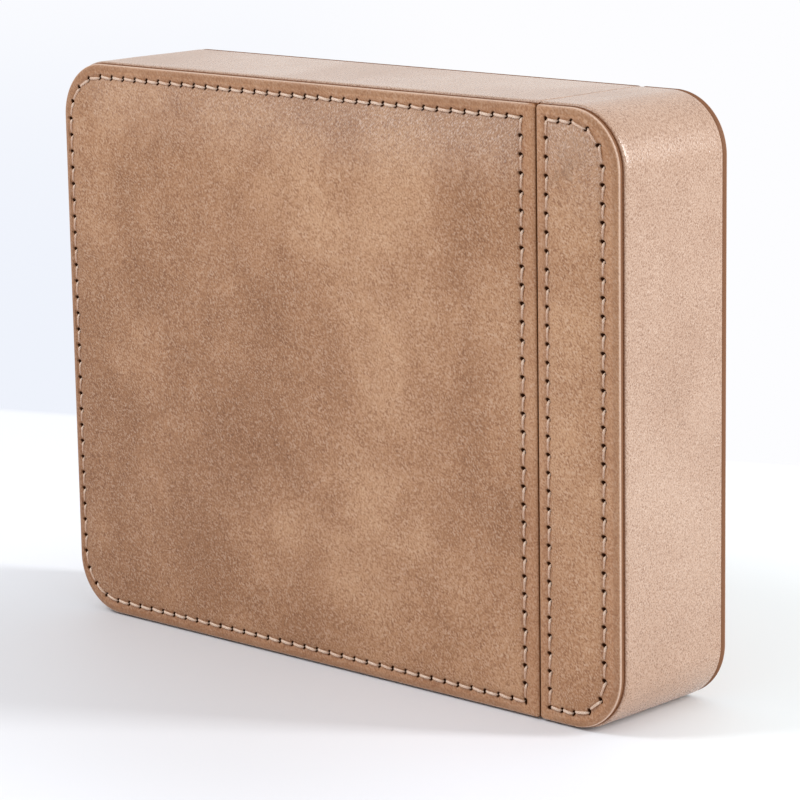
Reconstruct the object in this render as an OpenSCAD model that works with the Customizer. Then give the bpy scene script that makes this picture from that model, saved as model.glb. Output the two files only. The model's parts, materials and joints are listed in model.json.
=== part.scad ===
// Pocket watch display box: a stitched leather sleeve with a slide-out drawer.
// The drawer's head closes the sleeve's mouth and carries a tray with four padded watch wells.
// Frame: millimetres, X along the width, Y into the depth (front panel at -Y), Z up.
// Origin: middle of the footprint, on the surface that the box stands on.

/* [Case] */
// Width of the closed case, from the sleeve's end to the drawer's head
case_w = 178; // [150:1:220]
// Height of the case as it stands
case_h = 140; // [120:1:180]
// Depth of the case, over both stitched panels
case_d = 38; // [34:1:50]
// Radius of the four outer corners
corner_r = 14; // [10:1:18]
// Width of the drawer's head, seen from the front
head_w = 24; // [20:1:34]
// Gap between the sleeve's mouth and the drawer's head
seam_gap = 0.4; // [0.3:0.1:1]

/* [Shell] */
// Thickness of the wooden rails that form the rim
rail_t = 5; // [4.5:0.5:7]
// Thickness of the front and back boards
board_t = 2.4; // [1.8:0.2:3]
// Thickness of the leather band round the rim
band_t = 0.9; // [0.7:0.1:1.2]
// Thickness of the leather on the mouth and on the head's inner face
facing_t = 0.8; // [0.6:0.1:1.2]
// How far the mouth trim and the head facing sit back from the leather edges
facing_set_back = 0.2; // [0:0.1:0.5]
// Thickness of the suede lining in the sleeve
lining_t = 0.6; // [0.4:0.1:1]

/* [Panels] */
// Thickness of a stitched panel, which is leather folded over card
panel_t = 1.8; // [1.6:0.1:2.4]
// Thickness of the panel's leather
skin_t = 0.8; // [0.6:0.1:1]

/* [Stitching] */
// Diameter of the sewing thread
thread_d = 0.6; // [0.4:0.1:0.8]
// Depth of the channel that the stitches lie in
channel_depth = 0.3; // [0.2:0.05:0.4]
// Clearance between the thread and each side of its channel
channel_clear = 0.15; // [0.1:0.05:0.3]
// Length from one needle hole to the next
stitch_pitch = 4.1; // [3:0.1:6]
// Leather left between two stitches
stitch_gap = 0.8; // [0.6:0.1:1.5]
// Stitch line in from the top and bottom edges
stitch_edge = 3.7; // [3:0.1:6]
// Stitch line in from the sleeve's rounded end
sleeve_stitch_end = 2.9; // [2.6:0.1:6]
// Stitch line in from the sleeve's mouth
sleeve_stitch_seam = 3.9; // [3:0.1:6]
// Stitch line in from the head's rounded end
head_stitch_end = 5; // [3:0.1:6]
// Stitch line in from the head's seam edge
head_stitch_seam = 3; // [3:0.1:5]

/* [Tray] */
// Running clearance between the tray and the lining, on each side
slide_clear = 0.35; // [0.3:0.05:0.8]
// Room left behind the tray when the drawer is shut
end_clear = 1.5; // [0.5:0.5:5]
// Thickness of the tray's wooden walls
wall_t = 2; // [1.5:0.5:3]
// Thickness of the tray's floor
floor_t = 2; // [1.5:0.5:3]
// Thickness of the tray wall that is screwed to the head
head_wall_t = 3; // [2.5:0.5:4]
// Thickness of the suede that covers the tray
suede_t = 0.5; // [0.4:0.1:0.8]
// Thickness of the dividers, without their suede
divider_t = 1.5; // [1:0.5:3]
// Height of the tray's rim above the dividers
divider_drop = 2.5; // [1:0.5:5]

/* [Watch pads] */
// Thickness of a pad, with its cover
pad_t = 21; // [19:0.5:22]
// Thickness of the pad's suede cover
cover_t = 0.6; // [0.4:0.1:1]
// Gap between a pad and the cell round it
pad_clear = 0.2; // [0.1:0.1:0.5]
// Radius of the four corners of a pad
pad_corner_r = 2; // [1.5:0.5:4]
// Diameter of the well that holds a watch case
well_d = 48; // [40:1:50]
// Depth of the well
well_depth = 13; // [8:1:15]
// Pad left beside the well at the far end of the cell
well_margin = 2.8; // [2.5:0.1:4]
// Width of the notch for the crown and bow
notch_w = 18; // [12:1:24]
// Length of the notch, measured from the edge of the well
notch_l = 14; // [10:1:16]
// Radius of the notch's two corners
notch_corner_r = 4.5; // [2:0.5:5]

/* [Magnets and screws] */
// Diameter of a magnet
magnet_d = 3; // [2:0.5:4]
// Length of a magnet
magnet_l = 4; // [2:1:6]
// Distance of the magnets from the middle of the depth
magnet_y = 8; // [5:0.5:11]
// Thickness of the bulkhead that closes the head
bulkhead_t = 6; // [5:0.5:8]
// Diameter of the wood screws that hold the tray to the head
screw_d = 3; // [2.5:0.5:3.5]
// Length of those screws
screw_l = 9; // [7:0.5:9]
// Diameter of the countersunk screw head
screw_head_d = 5.6; // [5:0.2:6]
// Height of the countersunk screw head
screw_head_h = 1.6; // [1.2:0.1:2]
// Distance of the screws from the middle of the depth
screw_y = 6; // [4:0.5:8]
// Distance of the screws from the middle of the height
screw_z = 42; // [30:1:50]
// Room round a magnet or a screw in its hole
pocket_clear = 0.05; // [0.05:0.05:0.2]

/* [Hidden] */
$fn = 64;

// Colours
wood_c = "burlywood";
card_c = "gainsboro";
leather_c = "#b48a6c";
band_c = "#c09a80";
thread_c = "#ecd2b4";
suede_c = "#cbb59b";
foam_c = "#8f8f88";
steel_c = "silver";

// Case: the seam splits the width into the sleeve's and the head's length
seam_x = case_w / 2 - head_w;
sleeve_l = case_w - head_w - seam_gap / 2;
head_l = head_w - seam_gap / 2;
half_d = case_d / 2;
mid_z = case_h / 2;

// Layers from the outside in, along the depth
rim_half_d = half_d - panel_t;
rail_half_d = rim_half_d - board_t;
cavity_half_d = rail_half_d - lining_t;
edge_r = panel_t / 2;
card_t = panel_t - skin_t;
channel_w = thread_d + 2 * channel_clear;

// Layers from the outside in, round the rim
rail_inner = band_t + rail_t;
cavity_inner = rail_inner + lining_t;
frame_start = facing_set_back + facing_t;

// Tray, in the case's own coordinates
tray_x1 = seam_x + seam_gap / 2 + facing_set_back;
tray_x0 = -case_w / 2 + cavity_inner + end_clear;
tray_half_d = cavity_half_d - slide_clear;
tray_z0 = cavity_inner + slide_clear;
tray_z1 = case_h - tray_z0;
wrapped_wall_t = wall_t + 2 * suede_t;
floor_y0 = tray_half_d - suede_t - floor_t;
cell_x0 = tray_x0 + wrapped_wall_t;
cell_x1 = tray_x1 - head_wall_t - suede_t;
cell_z0 = tray_z0 + wrapped_wall_t;
cell_z1 = tray_z1 - wrapped_wall_t;
divider_x = (cell_x0 + cell_x1) / 2;
divider_y0 = -tray_half_d + divider_drop;
wrapped_divider_t = divider_t + 2 * suede_t;
// Where the dividers cross, the long one is cut from the front and the cross one from behind
lap_y = (divider_y0 + suede_t + floor_y0) / 2;

// Pads
pad_l = (cell_x1 - cell_x0 - wrapped_divider_t) / 2 - 2 * pad_clear;
pad_h = (cell_z1 - cell_z0 - wrapped_divider_t) / 2 - 2 * pad_clear;
pad_y0 = floor_y0 - pad_t;
pad_offset_x = pad_l / 2 + pad_clear + wrapped_divider_t / 2;
pad_offset_z = pad_h / 2 + pad_clear + wrapped_divider_t / 2;
left_x = divider_x - pad_offset_x;
right_x = divider_x + pad_offset_x;
top_z = mid_z + pad_offset_z;
bottom_z = mid_z - pad_offset_z;
well_x = -pad_l / 2 + well_margin + well_d / 2;

// Screws and magnets
screw_x0 = tray_x1 - head_wall_t;
cut = 1;

// ---- Placing ----

// Turns a flat outline drawn in (x, z) into a plate that starts at y0 and is t deep
module plate(y0, t) {
  translate([0, y0 + t, 0]) rotate([90, 0, 0]) linear_extrude(t) children();
}

// A box given by its corners
module block(low, high) {
  translate(low) cube(high - low);
}

// The sleeve's pieces are drawn from its mouth at x = 0 towards +X, then turned round
module in_sleeve() {
  translate([seam_x - seam_gap / 2, 0, 0]) mirror([1, 0, 0]) children();
}

// The head's pieces are drawn from the seam at x = 0 towards +X
module in_head() {
  translate([seam_x + seam_gap / 2, 0, 0]) children();
}

// Moves a piece of the front to the back
module on_back() {
  mirror([0, 1, 0]) children();
}

// ---- Shared outlines ----

// Outline of a section l long: square at the seam (x = start), rounded at its far end,
// with every outer edge moved in by inset
module section_outline(l, start, inset) {
  r = corner_r - inset;
  translate([start, inset]) square([l - start - corner_r, case_h - 2 * inset]);
  translate([l - corner_r, corner_r]) square([r, case_h - 2 * corner_r]);
  for (z = [corner_r, case_h - corner_r]) {
    intersection() {
      translate([l - corner_r, z]) circle(r);
      translate([l - corner_r, inset]) square([r, case_h - 2 * inset]);
    }
  }
}

// ---- Rim: rails, boards and leather band ----

module long_rail(l) {
  plate(-rail_half_d, 2 * rail_half_d) intersection() {
    section_outline(l, frame_start, band_t);
    square([l, rail_inner]);
  }
}

module end_rail(l) {
  plate(-rail_half_d, 2 * rail_half_d) intersection() {
    section_outline(l, frame_start, band_t);
    translate([l - rail_inner, rail_inner]) square([rail_inner, case_h - 2 * rail_inner]);
  }
}

module board(l) {
  plate(-rim_half_d, board_t) section_outline(l, frame_start, band_t);
}

module band(l) {
  plate(-rim_half_d, 2 * rim_half_d) difference() {
    section_outline(l, 0, 0);
    translate([-cut, 0]) section_outline(l + cut, 0, band_t);
  }
}

// Magnets sit in blind holes in the rail ends at the seam
module magnets(r, l) {
  for (y = [-magnet_y, magnet_y]) {
    translate([frame_start, y, band_t + rail_t / 2]) rotate([0, 90, 0]) cylinder(h = l, r = r);
  }
}

module magnet_row() {
  magnets(magnet_d / 2, magnet_l);
  translate([0, 0, case_h]) mirror([0, 0, 1]) magnets(magnet_d / 2, magnet_l);
}

module drilled_rail(l) {
  difference() {
    long_rail(l);
    translate([-cut, 0, 0]) magnets(magnet_d / 2 + pocket_clear, magnet_l + pocket_clear + cut);
  }
}

module at_top() {
  translate([0, 0, case_h]) mirror([0, 0, 1]) children();
}

// ---- Stitched panels ----

// Profile of a folded edge, drawn from x = 0 to len, rounded at both or one of its ends
module folded_profile(len, near_round, far_round) {
  x0 = near_round ? edge_r : 0;
  x1 = far_round ? len - edge_r : len;
  translate([x0, 0]) square([x1 - x0, panel_t]);
  if (near_round) translate([edge_r, edge_r]) circle(edge_r);
  if (far_round) translate([len - edge_r, edge_r]) circle(edge_r);
}

// Corner of a panel with the folded edge turned round it
module folded_corner() {
  translate([0, panel_t, 0]) rotate([90, 0, 0]) rotate_extrude(angle = 90) difference() {
    folded_profile(corner_r, false, true);
    translate([-cut - corner_r, -cut]) square([cut + corner_r, panel_t + 2 * cut]);
  }
}

// Whole panel, its front face at y = 0 and its back face at y = panel_t
module panel_body(l) {
  intersection() {
    rotate([90, 0, 90]) linear_extrude(l - corner_r) rotate(90) mirror([0, 1]) {
      folded_profile(case_h, true, true);
    }
    linear_extrude(case_h) folded_profile(l, true, false);
  }
  translate([l - corner_r, 0, corner_r]) linear_extrude(case_h - 2 * corner_r) {
    folded_profile(corner_r, false, true);
  }
  translate([l - corner_r, 0, case_h - corner_r]) folded_corner();
  translate([l - corner_r, 0, corner_r]) mirror([0, 0, 1]) folded_corner();
}

module panel_card(l) {
  plate(-half_d + skin_t, card_t) section_outline(l, skin_t, skin_t);
}

// Outline of the stitch line, moved out by w
module stitch_outline(l, seam, end, w) {
  r = corner_r - end + w;
  x0 = seam - w;
  x1 = l - end + w;
  z0 = stitch_edge - w;
  z1 = case_h - stitch_edge + w;
  translate([x0, z0]) square([x1 - r - x0, z1 - z0]);
  translate([x1 - r, z0 + r]) square([r, z1 - z0 - 2 * r]);
  for (z = [z0 + r, z1 - r]) {
    intersection() {
      translate([x1 - r, z]) circle(r);
      translate([x1 - r, z0]) square([r, z1 - z0]);
    }
  }
}

module channel(l, seam, end) {
  plate(-half_d - cut, channel_depth + cut) difference() {
    stitch_outline(l, seam, end, channel_w / 2);
    stitch_outline(l, seam, end, -channel_w / 2);
  }
}

module panel_leather(l, seam, end) {
  difference() {
    translate([0, -half_d, 0]) panel_body(l);
    panel_card(l);
    channel(l, seam, end);
  }
}

// One stitch: a short length of thread, flat underneath where it lies in the channel,
// centred on x = 0 and running along X
module stitch(len) {
  intersection() {
    translate([0, channel_depth, 0]) {
      translate([-len / 2, 0, 0]) rotate([0, 90, 0]) cylinder(h = len, r = thread_d / 2);
    }
    translate([-len / 2, 0, -thread_d / 2]) cube([len, channel_depth, thread_d]);
  }
}

// A straight row of stitches, shared out evenly between two points of the outline
module stitch_row(from, to) {
  len = norm(to - from);
  count = round(len / stitch_pitch);
  step = len / count;
  turn = atan2(to[1] - from[1], to[0] - from[0]);
  for (i = [0 : count - 1]) {
    p = from + (to - from) * (i + 1 / 2) / count;
    translate([p[0], -half_d, p[1]]) rotate([0, -turn, 0]) stitch(step - stitch_gap);
  }
}

// Stitches round a corner of radius r, from angle a0 to a1
module stitch_corner(centre, r, a0, a1) {
  count = max(1, round(r * (a1 - a0) * PI / 180 / stitch_pitch));
  step = (a1 - a0) / count;
  chord = 2 * r * sin(step / 2);
  middle_r = r * (1 + cos(step / 2)) / 2;
  for (i = [0 : count - 1]) {
    a = a0 + (i + 1 / 2) * step;
    x = centre[0] + middle_r * cos(a);
    z = centre[1] + middle_r * sin(a);
    translate([x, -half_d, z]) rotate([0, -a - 90, 0]) stitch(chord - stitch_gap);
  }
}

module stitching(l, seam, end) {
  r = corner_r - end;
  x0 = seam;
  x1 = l - end;
  z0 = stitch_edge;
  z1 = case_h - stitch_edge;
  stitch_row([x0, z0], [x1 - r, z0]);
  stitch_row([x0, z1], [x1 - r, z1]);
  stitch_row([x0, z0], [x0, z1]);
  stitch_row([x1, z0 + r], [x1, z1 - r]);
  stitch_corner([x1 - r, z1 - r], r, 0, 90);
  stitch_corner([x1 - r, z0 + r], r, -90, 0);
}

// ---- Sleeve ----

module sleeve_bottom_rail() { color(wood_c) in_sleeve() drilled_rail(sleeve_l); }
module sleeve_top_rail() { color(wood_c) in_sleeve() at_top() drilled_rail(sleeve_l); }
module sleeve_end_rail() { color(wood_c) in_sleeve() end_rail(sleeve_l); }
module sleeve_front_board() { color(wood_c) in_sleeve() board(sleeve_l); }
module sleeve_back_board() { color(wood_c) in_sleeve() on_back() board(sleeve_l); }
module sleeve_band_leather() { color(band_c) in_sleeve() band(sleeve_l); }

// Leather ring glued over the ends of the rails and boards
module sleeve_mouth_trim() {
  color(band_c) in_sleeve() difference() {
    block([facing_set_back, -rim_half_d, band_t], [frame_start, rim_half_d, case_h - band_t]);
    block([0, -rail_half_d, rail_inner], [frame_start + cut, rail_half_d, case_h - rail_inner]);
  }
}

module sleeve_front_card() { color(card_c) in_sleeve() panel_card(sleeve_l); }
module sleeve_back_card() { color(card_c) in_sleeve() on_back() panel_card(sleeve_l); }

module sleeve_front_leather() {
  color(leather_c) in_sleeve() panel_leather(sleeve_l, sleeve_stitch_seam, sleeve_stitch_end);
}

module sleeve_back_leather() {
  color(leather_c) in_sleeve() on_back() {
    panel_leather(sleeve_l, sleeve_stitch_seam, sleeve_stitch_end);
  }
}

module sleeve_front_stitching() {
  color(thread_c) in_sleeve() stitching(sleeve_l, sleeve_stitch_seam, sleeve_stitch_end);
}

module sleeve_back_stitching() {
  color(thread_c) in_sleeve() on_back() {
    stitching(sleeve_l, sleeve_stitch_seam, sleeve_stitch_end);
  }
}

// Suede on the four inner walls and the end of the cavity
module sleeve_lining() {
  x0 = facing_set_back;
  x1 = sleeve_l - rail_inner;
  color(suede_c) in_sleeve() difference() {
    block([x0, -rail_half_d, rail_inner], [x1, rail_half_d, case_h - rail_inner]);
    block(
      [x0 - cut, -cavity_half_d, cavity_inner],
      [x1 - lining_t, cavity_half_d, case_h - cavity_inner]
    );
  }
}

module sleeve_magnets() { color(steel_c) in_sleeve() magnet_row(); }

// ---- Drawer head ----

module head_bottom_rail() { color(wood_c) in_head() drilled_rail(head_l); }
module head_top_rail() { color(wood_c) in_head() at_top() drilled_rail(head_l); }
module head_end_rail() { color(wood_c) in_head() end_rail(head_l); }
module head_front_board() { color(wood_c) in_head() board(head_l); }
module head_back_board() { color(wood_c) in_head() on_back() board(head_l); }
module head_band_leather() { color(band_c) in_head() band(head_l); }

// Places its children at the four screws, each with its head at x = 0
module at_screws() {
  for (y = [-screw_y, screw_y]) {
    for (z = [mid_z - screw_z, mid_z + screw_z]) {
      translate([screw_x0, y, z]) rotate([0, 90, 0]) children();
    }
  }
}

module screw_hole() {
  translate([0, 0, -cut]) cylinder(h = screw_l + pocket_clear + cut, r = screw_d / 2 + pocket_clear);
}

module head_bulkhead() {
  color(wood_c) difference() {
    in_head() block(
      [frame_start, -rail_half_d, rail_inner],
      [frame_start + bulkhead_t, rail_half_d, case_h - rail_inner]
    );
    at_screws() screw_hole();
  }
}

// Leather over the bulkhead and the rail ends, facing the sleeve's mouth
module head_facing() {
  color(band_c) difference() {
    in_head() block(
      [facing_set_back, -rim_half_d, band_t],
      [frame_start, rim_half_d, case_h - band_t]
    );
    at_screws() screw_hole();
  }
}

module head_front_card() { color(card_c) in_head() panel_card(head_l); }
module head_back_card() { color(card_c) in_head() on_back() panel_card(head_l); }

module head_front_leather() {
  color(leather_c) in_head() panel_leather(head_l, head_stitch_seam, head_stitch_end);
}

module head_back_leather() {
  color(leather_c) in_head() on_back() panel_leather(head_l, head_stitch_seam, head_stitch_end);
}

module head_front_stitching() {
  color(thread_c) in_head() stitching(head_l, head_stitch_seam, head_stitch_end);
}

module head_back_stitching() {
  color(thread_c) in_head() on_back() stitching(head_l, head_stitch_seam, head_stitch_end);
}

module head_magnets() { color(steel_c) in_head() magnet_row(); }

// ---- Tray ----

module tray_bottom_wall() {
  color(wood_c) block(
    [tray_x0 + suede_t, -tray_half_d + suede_t, tray_z0 + suede_t],
    [tray_x1, tray_half_d - suede_t, tray_z0 + suede_t + wall_t]
  );
}

module tray_top_wall() {
  color(wood_c) block(
    [tray_x0 + suede_t, -tray_half_d + suede_t, tray_z1 - suede_t - wall_t],
    [tray_x1, tray_half_d - suede_t, tray_z1 - suede_t]
  );
}

module tray_end_wall() {
  color(wood_c) block(
    [tray_x0 + suede_t, -tray_half_d + suede_t, tray_z0 + suede_t + wall_t],
    [tray_x0 + suede_t + wall_t, tray_half_d - suede_t, tray_z1 - suede_t - wall_t]
  );
}

// Countersunk for the screws that go through it into the bulkhead
module tray_head_wall() {
  color(wood_c) difference() {
    block(
      [tray_x1 - head_wall_t, -tray_half_d + suede_t, tray_z0 + suede_t + wall_t],
      [tray_x1, tray_half_d - suede_t, tray_z1 - suede_t - wall_t]
    );
    at_screws() {
      screw_hole();
      screw_cone(pocket_clear);
    }
  }
}

module tray_floor() {
  color(wood_c) block(
    [tray_x0 + suede_t + wall_t, floor_y0, tray_z0 + suede_t + wall_t],
    [tray_x1 - head_wall_t, tray_half_d - suede_t, tray_z1 - suede_t - wall_t]
  );
}

// Suede outside, over the rim and down the inside of the walls
module tray_suede() {
  color(suede_c) difference() {
    block([tray_x0, -tray_half_d, tray_z0], [tray_x1, tray_half_d, tray_z1]);
    block(
      [tray_x0 + suede_t, -tray_half_d + suede_t, tray_z0 + suede_t],
      [tray_x0 + suede_t + wall_t, tray_half_d - suede_t, tray_z1 - suede_t]
    );
    block(
      [tray_x1 - head_wall_t, -tray_half_d + suede_t, tray_z0 + suede_t],
      [tray_x1 + cut, tray_half_d - suede_t, tray_z1 - suede_t]
    );
    for (z = [tray_z0 + suede_t, tray_z1 - suede_t - wall_t]) {
      block(
        [tray_x0 + suede_t, -tray_half_d + suede_t, z],
        [tray_x1 + cut, tray_half_d - suede_t, z + wall_t]
      );
    }
    block(
      [tray_x0 + suede_t, floor_y0, tray_z0 + suede_t],
      [tray_x1 + cut, tray_half_d - suede_t, tray_z1 - suede_t]
    );
    block([cell_x0, -tray_half_d - cut, cell_z0], [cell_x1, floor_y0 + cut, cell_z1]);
  }
}

module screw_cone(clear) {
  cylinder(h = screw_head_h, r1 = screw_head_d / 2 + clear, r2 = screw_d / 2 + clear);
}

module tray_screws() {
  color(steel_c) at_screws() {
    screw_cone(0);
    translate([0, 0, screw_head_h]) cylinder(h = screw_l - screw_head_h, r = screw_d / 2);
  }
}

// ---- Dividers ----

module divider_long() {
  color(wood_c) difference() {
    block(
      [cell_x0, divider_y0 + suede_t, mid_z - divider_t / 2],
      [cell_x1, floor_y0, mid_z + divider_t / 2]
    );
    block(
      [divider_x - divider_t / 2, divider_y0, mid_z - divider_t],
      [divider_x + divider_t / 2, lap_y, mid_z + divider_t]
    );
  }
}

module divider_cross() {
  color(wood_c) difference() {
    block(
      [divider_x - divider_t / 2, divider_y0 + suede_t, cell_z0],
      [divider_x + divider_t / 2, floor_y0, cell_z1]
    );
    block(
      [divider_x - divider_t, lap_y, mid_z - divider_t / 2],
      [divider_x + divider_t, floor_y0 + cut, mid_z + divider_t / 2]
    );
  }
}

// A cross of two bars, as thick as given, from y0 to the floor
module divider_bars(t, y0) {
  block([cell_x0, y0, mid_z - t / 2], [cell_x1, floor_y0, mid_z + t / 2]);
  block([divider_x - t / 2, y0, cell_z0], [divider_x + t / 2, floor_y0, cell_z1]);
}

module divider_suede() {
  color(suede_c) difference() {
    divider_bars(wrapped_divider_t, divider_y0);
    divider_bars(divider_t, divider_y0 + suede_t);
  }
}

// ---- Watch pads ----

// Outline of the well: a round seat for the watch case, with a notch for its crown and bow
module well_outline(grow) {
  r = well_d / 2 + grow;
  notch_r = notch_corner_r + grow;
  notch_end = well_x + well_d / 2 + notch_l + grow;
  translate([well_x, 0]) circle(r);
  translate([well_x, -notch_w / 2 - grow]) {
    square([notch_end - notch_r - well_x, notch_w + 2 * grow]);
  }
  translate([well_x, -notch_w / 2 - grow + notch_r]) {
    square([notch_end - well_x, notch_w + 2 * grow - 2 * notch_r]);
  }
  for (z = [-1, 1]) {
    translate([notch_end - notch_r, z * (notch_w / 2 + grow - notch_r)]) circle(notch_r);
  }
}

module pad_outline(inset) {
  r = pad_corner_r - inset;
  x = pad_l / 2 - pad_corner_r;
  z = pad_h / 2 - pad_corner_r;
  square([2 * x, 2 * (z + r)], center = true);
  square([2 * (x + r), 2 * z], center = true);
  for (i = [-x, x]) {
    for (j = [-z, z]) {
      translate([i, j]) circle(r);
    }
  }
}

// Foam block with its well, drawn about the middle of its cell
module pad_foam() {
  difference() {
    plate(pad_y0 + cover_t, pad_t - cover_t) pad_outline(cover_t);
    plate(pad_y0, well_depth + cover_t) well_outline(cover_t);
  }
}

// Suede drawn over the foam and down into the well
module pad_cover() {
  difference() {
    plate(pad_y0, pad_t) pad_outline(0);
    pad_foam();
    plate(pad_y0 - cut, well_depth + cut) well_outline(0);
  }
}

module pad_foam_top_left() { color(foam_c) translate([left_x, 0, top_z]) pad_foam(); }
module pad_foam_top_right() { color(foam_c) translate([right_x, 0, top_z]) pad_foam(); }
module pad_foam_bottom_left() { color(foam_c) translate([left_x, 0, bottom_z]) pad_foam(); }
module pad_foam_bottom_right() { color(foam_c) translate([right_x, 0, bottom_z]) pad_foam(); }
module pad_cover_top_left() { color(suede_c) translate([left_x, 0, top_z]) pad_cover(); }
module pad_cover_top_right() { color(suede_c) translate([right_x, 0, top_z]) pad_cover(); }
module pad_cover_bottom_left() { color(suede_c) translate([left_x, 0, bottom_z]) pad_cover(); }
module pad_cover_bottom_right() { color(suede_c) translate([right_x, 0, bottom_z]) pad_cover(); }

sleeve_top_rail();
sleeve_bottom_rail();
sleeve_end_rail();
sleeve_front_board();
sleeve_back_board();
sleeve_band_leather();
sleeve_mouth_trim();
sleeve_front_card();
sleeve_front_leather();
sleeve_front_stitching();
sleeve_back_card();
sleeve_back_leather();
sleeve_back_stitching();
sleeve_lining();
sleeve_magnets();
head_top_rail();
head_bottom_rail();
head_end_rail();
head_front_board();
head_back_board();
head_bulkhead();
head_band_leather();
head_facing();
head_front_card();
head_front_leather();
head_front_stitching();
head_back_card();
head_back_leather();
head_back_stitching();
head_magnets();
tray_floor();
tray_top_wall();
tray_bottom_wall();
tray_end_wall();
tray_head_wall();
tray_suede();
tray_screws();
divider_long();
divider_cross();
divider_suede();
pad_foam_top_left();
pad_foam_top_right();
pad_foam_bottom_left();
pad_foam_bottom_right();
pad_cover_top_left();
pad_cover_top_right();
pad_cover_bottom_left();
pad_cover_bottom_right();
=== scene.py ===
# %% [markdown]
# # A stitched leather case for pocket watches
# The case is a sleeve with a drawer. Closed, it shows four things: folded leather panels, the
# thread that is sewn round them, the leather band on the rim, and the seam where the drawer's
# head meets the sleeve. Pulled out, the drawer shows suede, dividers and four watch pads.
# Everything hard is already made, so this file dresses it: each soft or leather piece gets its
# own mesh, and every piece gets a finish that is worked out by nodes.

# %% Load the frame
import json
import math

import bpy
import numpy as np
from mathutils import Matrix, Vector
from mathutils.geometry import delaunay_2d_cdt

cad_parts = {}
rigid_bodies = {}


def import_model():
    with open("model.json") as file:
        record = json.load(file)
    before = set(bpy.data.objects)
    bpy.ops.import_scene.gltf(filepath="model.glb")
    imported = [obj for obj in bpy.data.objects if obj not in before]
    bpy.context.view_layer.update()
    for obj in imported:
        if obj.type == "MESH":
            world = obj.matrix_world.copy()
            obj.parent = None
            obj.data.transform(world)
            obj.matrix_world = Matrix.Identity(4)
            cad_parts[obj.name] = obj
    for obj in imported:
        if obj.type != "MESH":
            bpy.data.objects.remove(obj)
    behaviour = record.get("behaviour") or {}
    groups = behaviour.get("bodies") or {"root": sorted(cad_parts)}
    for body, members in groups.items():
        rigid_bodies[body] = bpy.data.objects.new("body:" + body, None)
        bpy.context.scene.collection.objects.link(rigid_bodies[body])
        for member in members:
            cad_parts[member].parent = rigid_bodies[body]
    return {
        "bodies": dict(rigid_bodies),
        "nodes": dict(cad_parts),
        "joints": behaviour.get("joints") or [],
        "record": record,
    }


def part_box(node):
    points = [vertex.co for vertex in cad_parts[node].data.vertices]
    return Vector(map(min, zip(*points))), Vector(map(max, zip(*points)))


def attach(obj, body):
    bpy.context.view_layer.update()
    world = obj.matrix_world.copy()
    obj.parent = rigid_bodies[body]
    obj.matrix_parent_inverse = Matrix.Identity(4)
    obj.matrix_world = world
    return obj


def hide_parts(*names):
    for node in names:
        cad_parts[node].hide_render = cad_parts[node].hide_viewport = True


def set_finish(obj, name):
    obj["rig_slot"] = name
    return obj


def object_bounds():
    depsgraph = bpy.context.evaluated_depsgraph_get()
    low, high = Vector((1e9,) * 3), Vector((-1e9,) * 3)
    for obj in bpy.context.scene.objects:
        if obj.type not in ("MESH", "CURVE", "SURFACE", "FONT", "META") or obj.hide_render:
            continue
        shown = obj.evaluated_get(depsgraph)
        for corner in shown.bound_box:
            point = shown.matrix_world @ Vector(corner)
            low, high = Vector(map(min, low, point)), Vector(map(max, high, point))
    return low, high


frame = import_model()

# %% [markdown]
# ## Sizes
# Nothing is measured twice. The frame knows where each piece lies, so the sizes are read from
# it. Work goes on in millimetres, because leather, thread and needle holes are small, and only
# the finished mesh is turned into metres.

MM = 0.001
cad_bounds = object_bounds()


def corners(node):
    """Lowest and highest corner of a node, in millimetres."""
    low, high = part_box(node)
    return np.array(low) / MM, np.array(high) / MM


case_low = np.array(cad_bounds[0]) / MM
case_high = np.array(cad_bounds[1]) / MM
case_height = case_high[2] - case_low[2]
print("case, mm:", np.round(case_high - case_low, 1))

# %% Sizes that the frame doesn't tell: radii, thicknesses and the thread
corner_r = 14.0
leather_t = 0.9
suede_t = 0.5
lining_t = 0.6
thread_d = 0.6
stitch_pitch = 4.1

# %% The two sections, each measured from the seam
class Section:
    """The sleeve or the head. u runs from the seam to the rounded end, v runs up."""

    def __init__(self, name, way):
        low, high = corners(name + "_front_leather")
        sewn_low, sewn_high = corners(name + "_front_stitching")
        near, far = (low, high) if way > 0 else (high, low)
        sewn_near, sewn_far = (sewn_low, sewn_high) if way > 0 else (sewn_high, sewn_low)
        self.name = name
        self.body = "drawer" if name == "head" else "sleeve"
        self.way = way
        self.start = near[0]
        self.length = abs(far[0] - near[0])
        self.face_y = abs(low[1])
        self.panel_t = high[1] - low[1]
        self.stitch_seam = abs(sewn_near[0] - near[0]) + thread_d / 2
        self.stitch_end = abs(far[0] - sewn_far[0]) + thread_d / 2
        self.stitch_edge = sewn_low[2] - low[2] + thread_d / 2

    def place(self, u, v, w, side):
        """Turns (u, v, height w over the panel's back) into points; side is -1 in front."""
        back = self.face_y - self.panel_t
        return np.stack([self.start + self.way * u, side * (back + w), v], 1)

    def face(self, side):
        """What the names of the nodes on that face start with."""
        return self.name + ("_front" if side < 0 else "_back")


sleeve = Section("sleeve", -1)
head = Section("head", 1)
every_face = [(section, side) for section in (sleeve, head) for side in (-1, 1)]
for section in (sleeve, head):
    insets = (section.stitch_seam, section.stitch_end, section.stitch_edge)
    print(section.name, "length", round(section.length, 2), "stitch line in by",
          [round(float(x), 2) for x in insets])

# %% [markdown]
# ## Camera
# The photograph is taken with a long lens, a little above the case and from its right. A long
# lens keeps the edges nearly parallel. The angles were found by matching the case's corners.

# %% Camera
camera_place = (0.54238, -0.57521, 0.22808)
camera_yaw = math.radians(42.995)
camera_pitch = math.radians(11.854)
camera_roll = math.radians(-0.945)
camera_lens = 152.4

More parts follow.
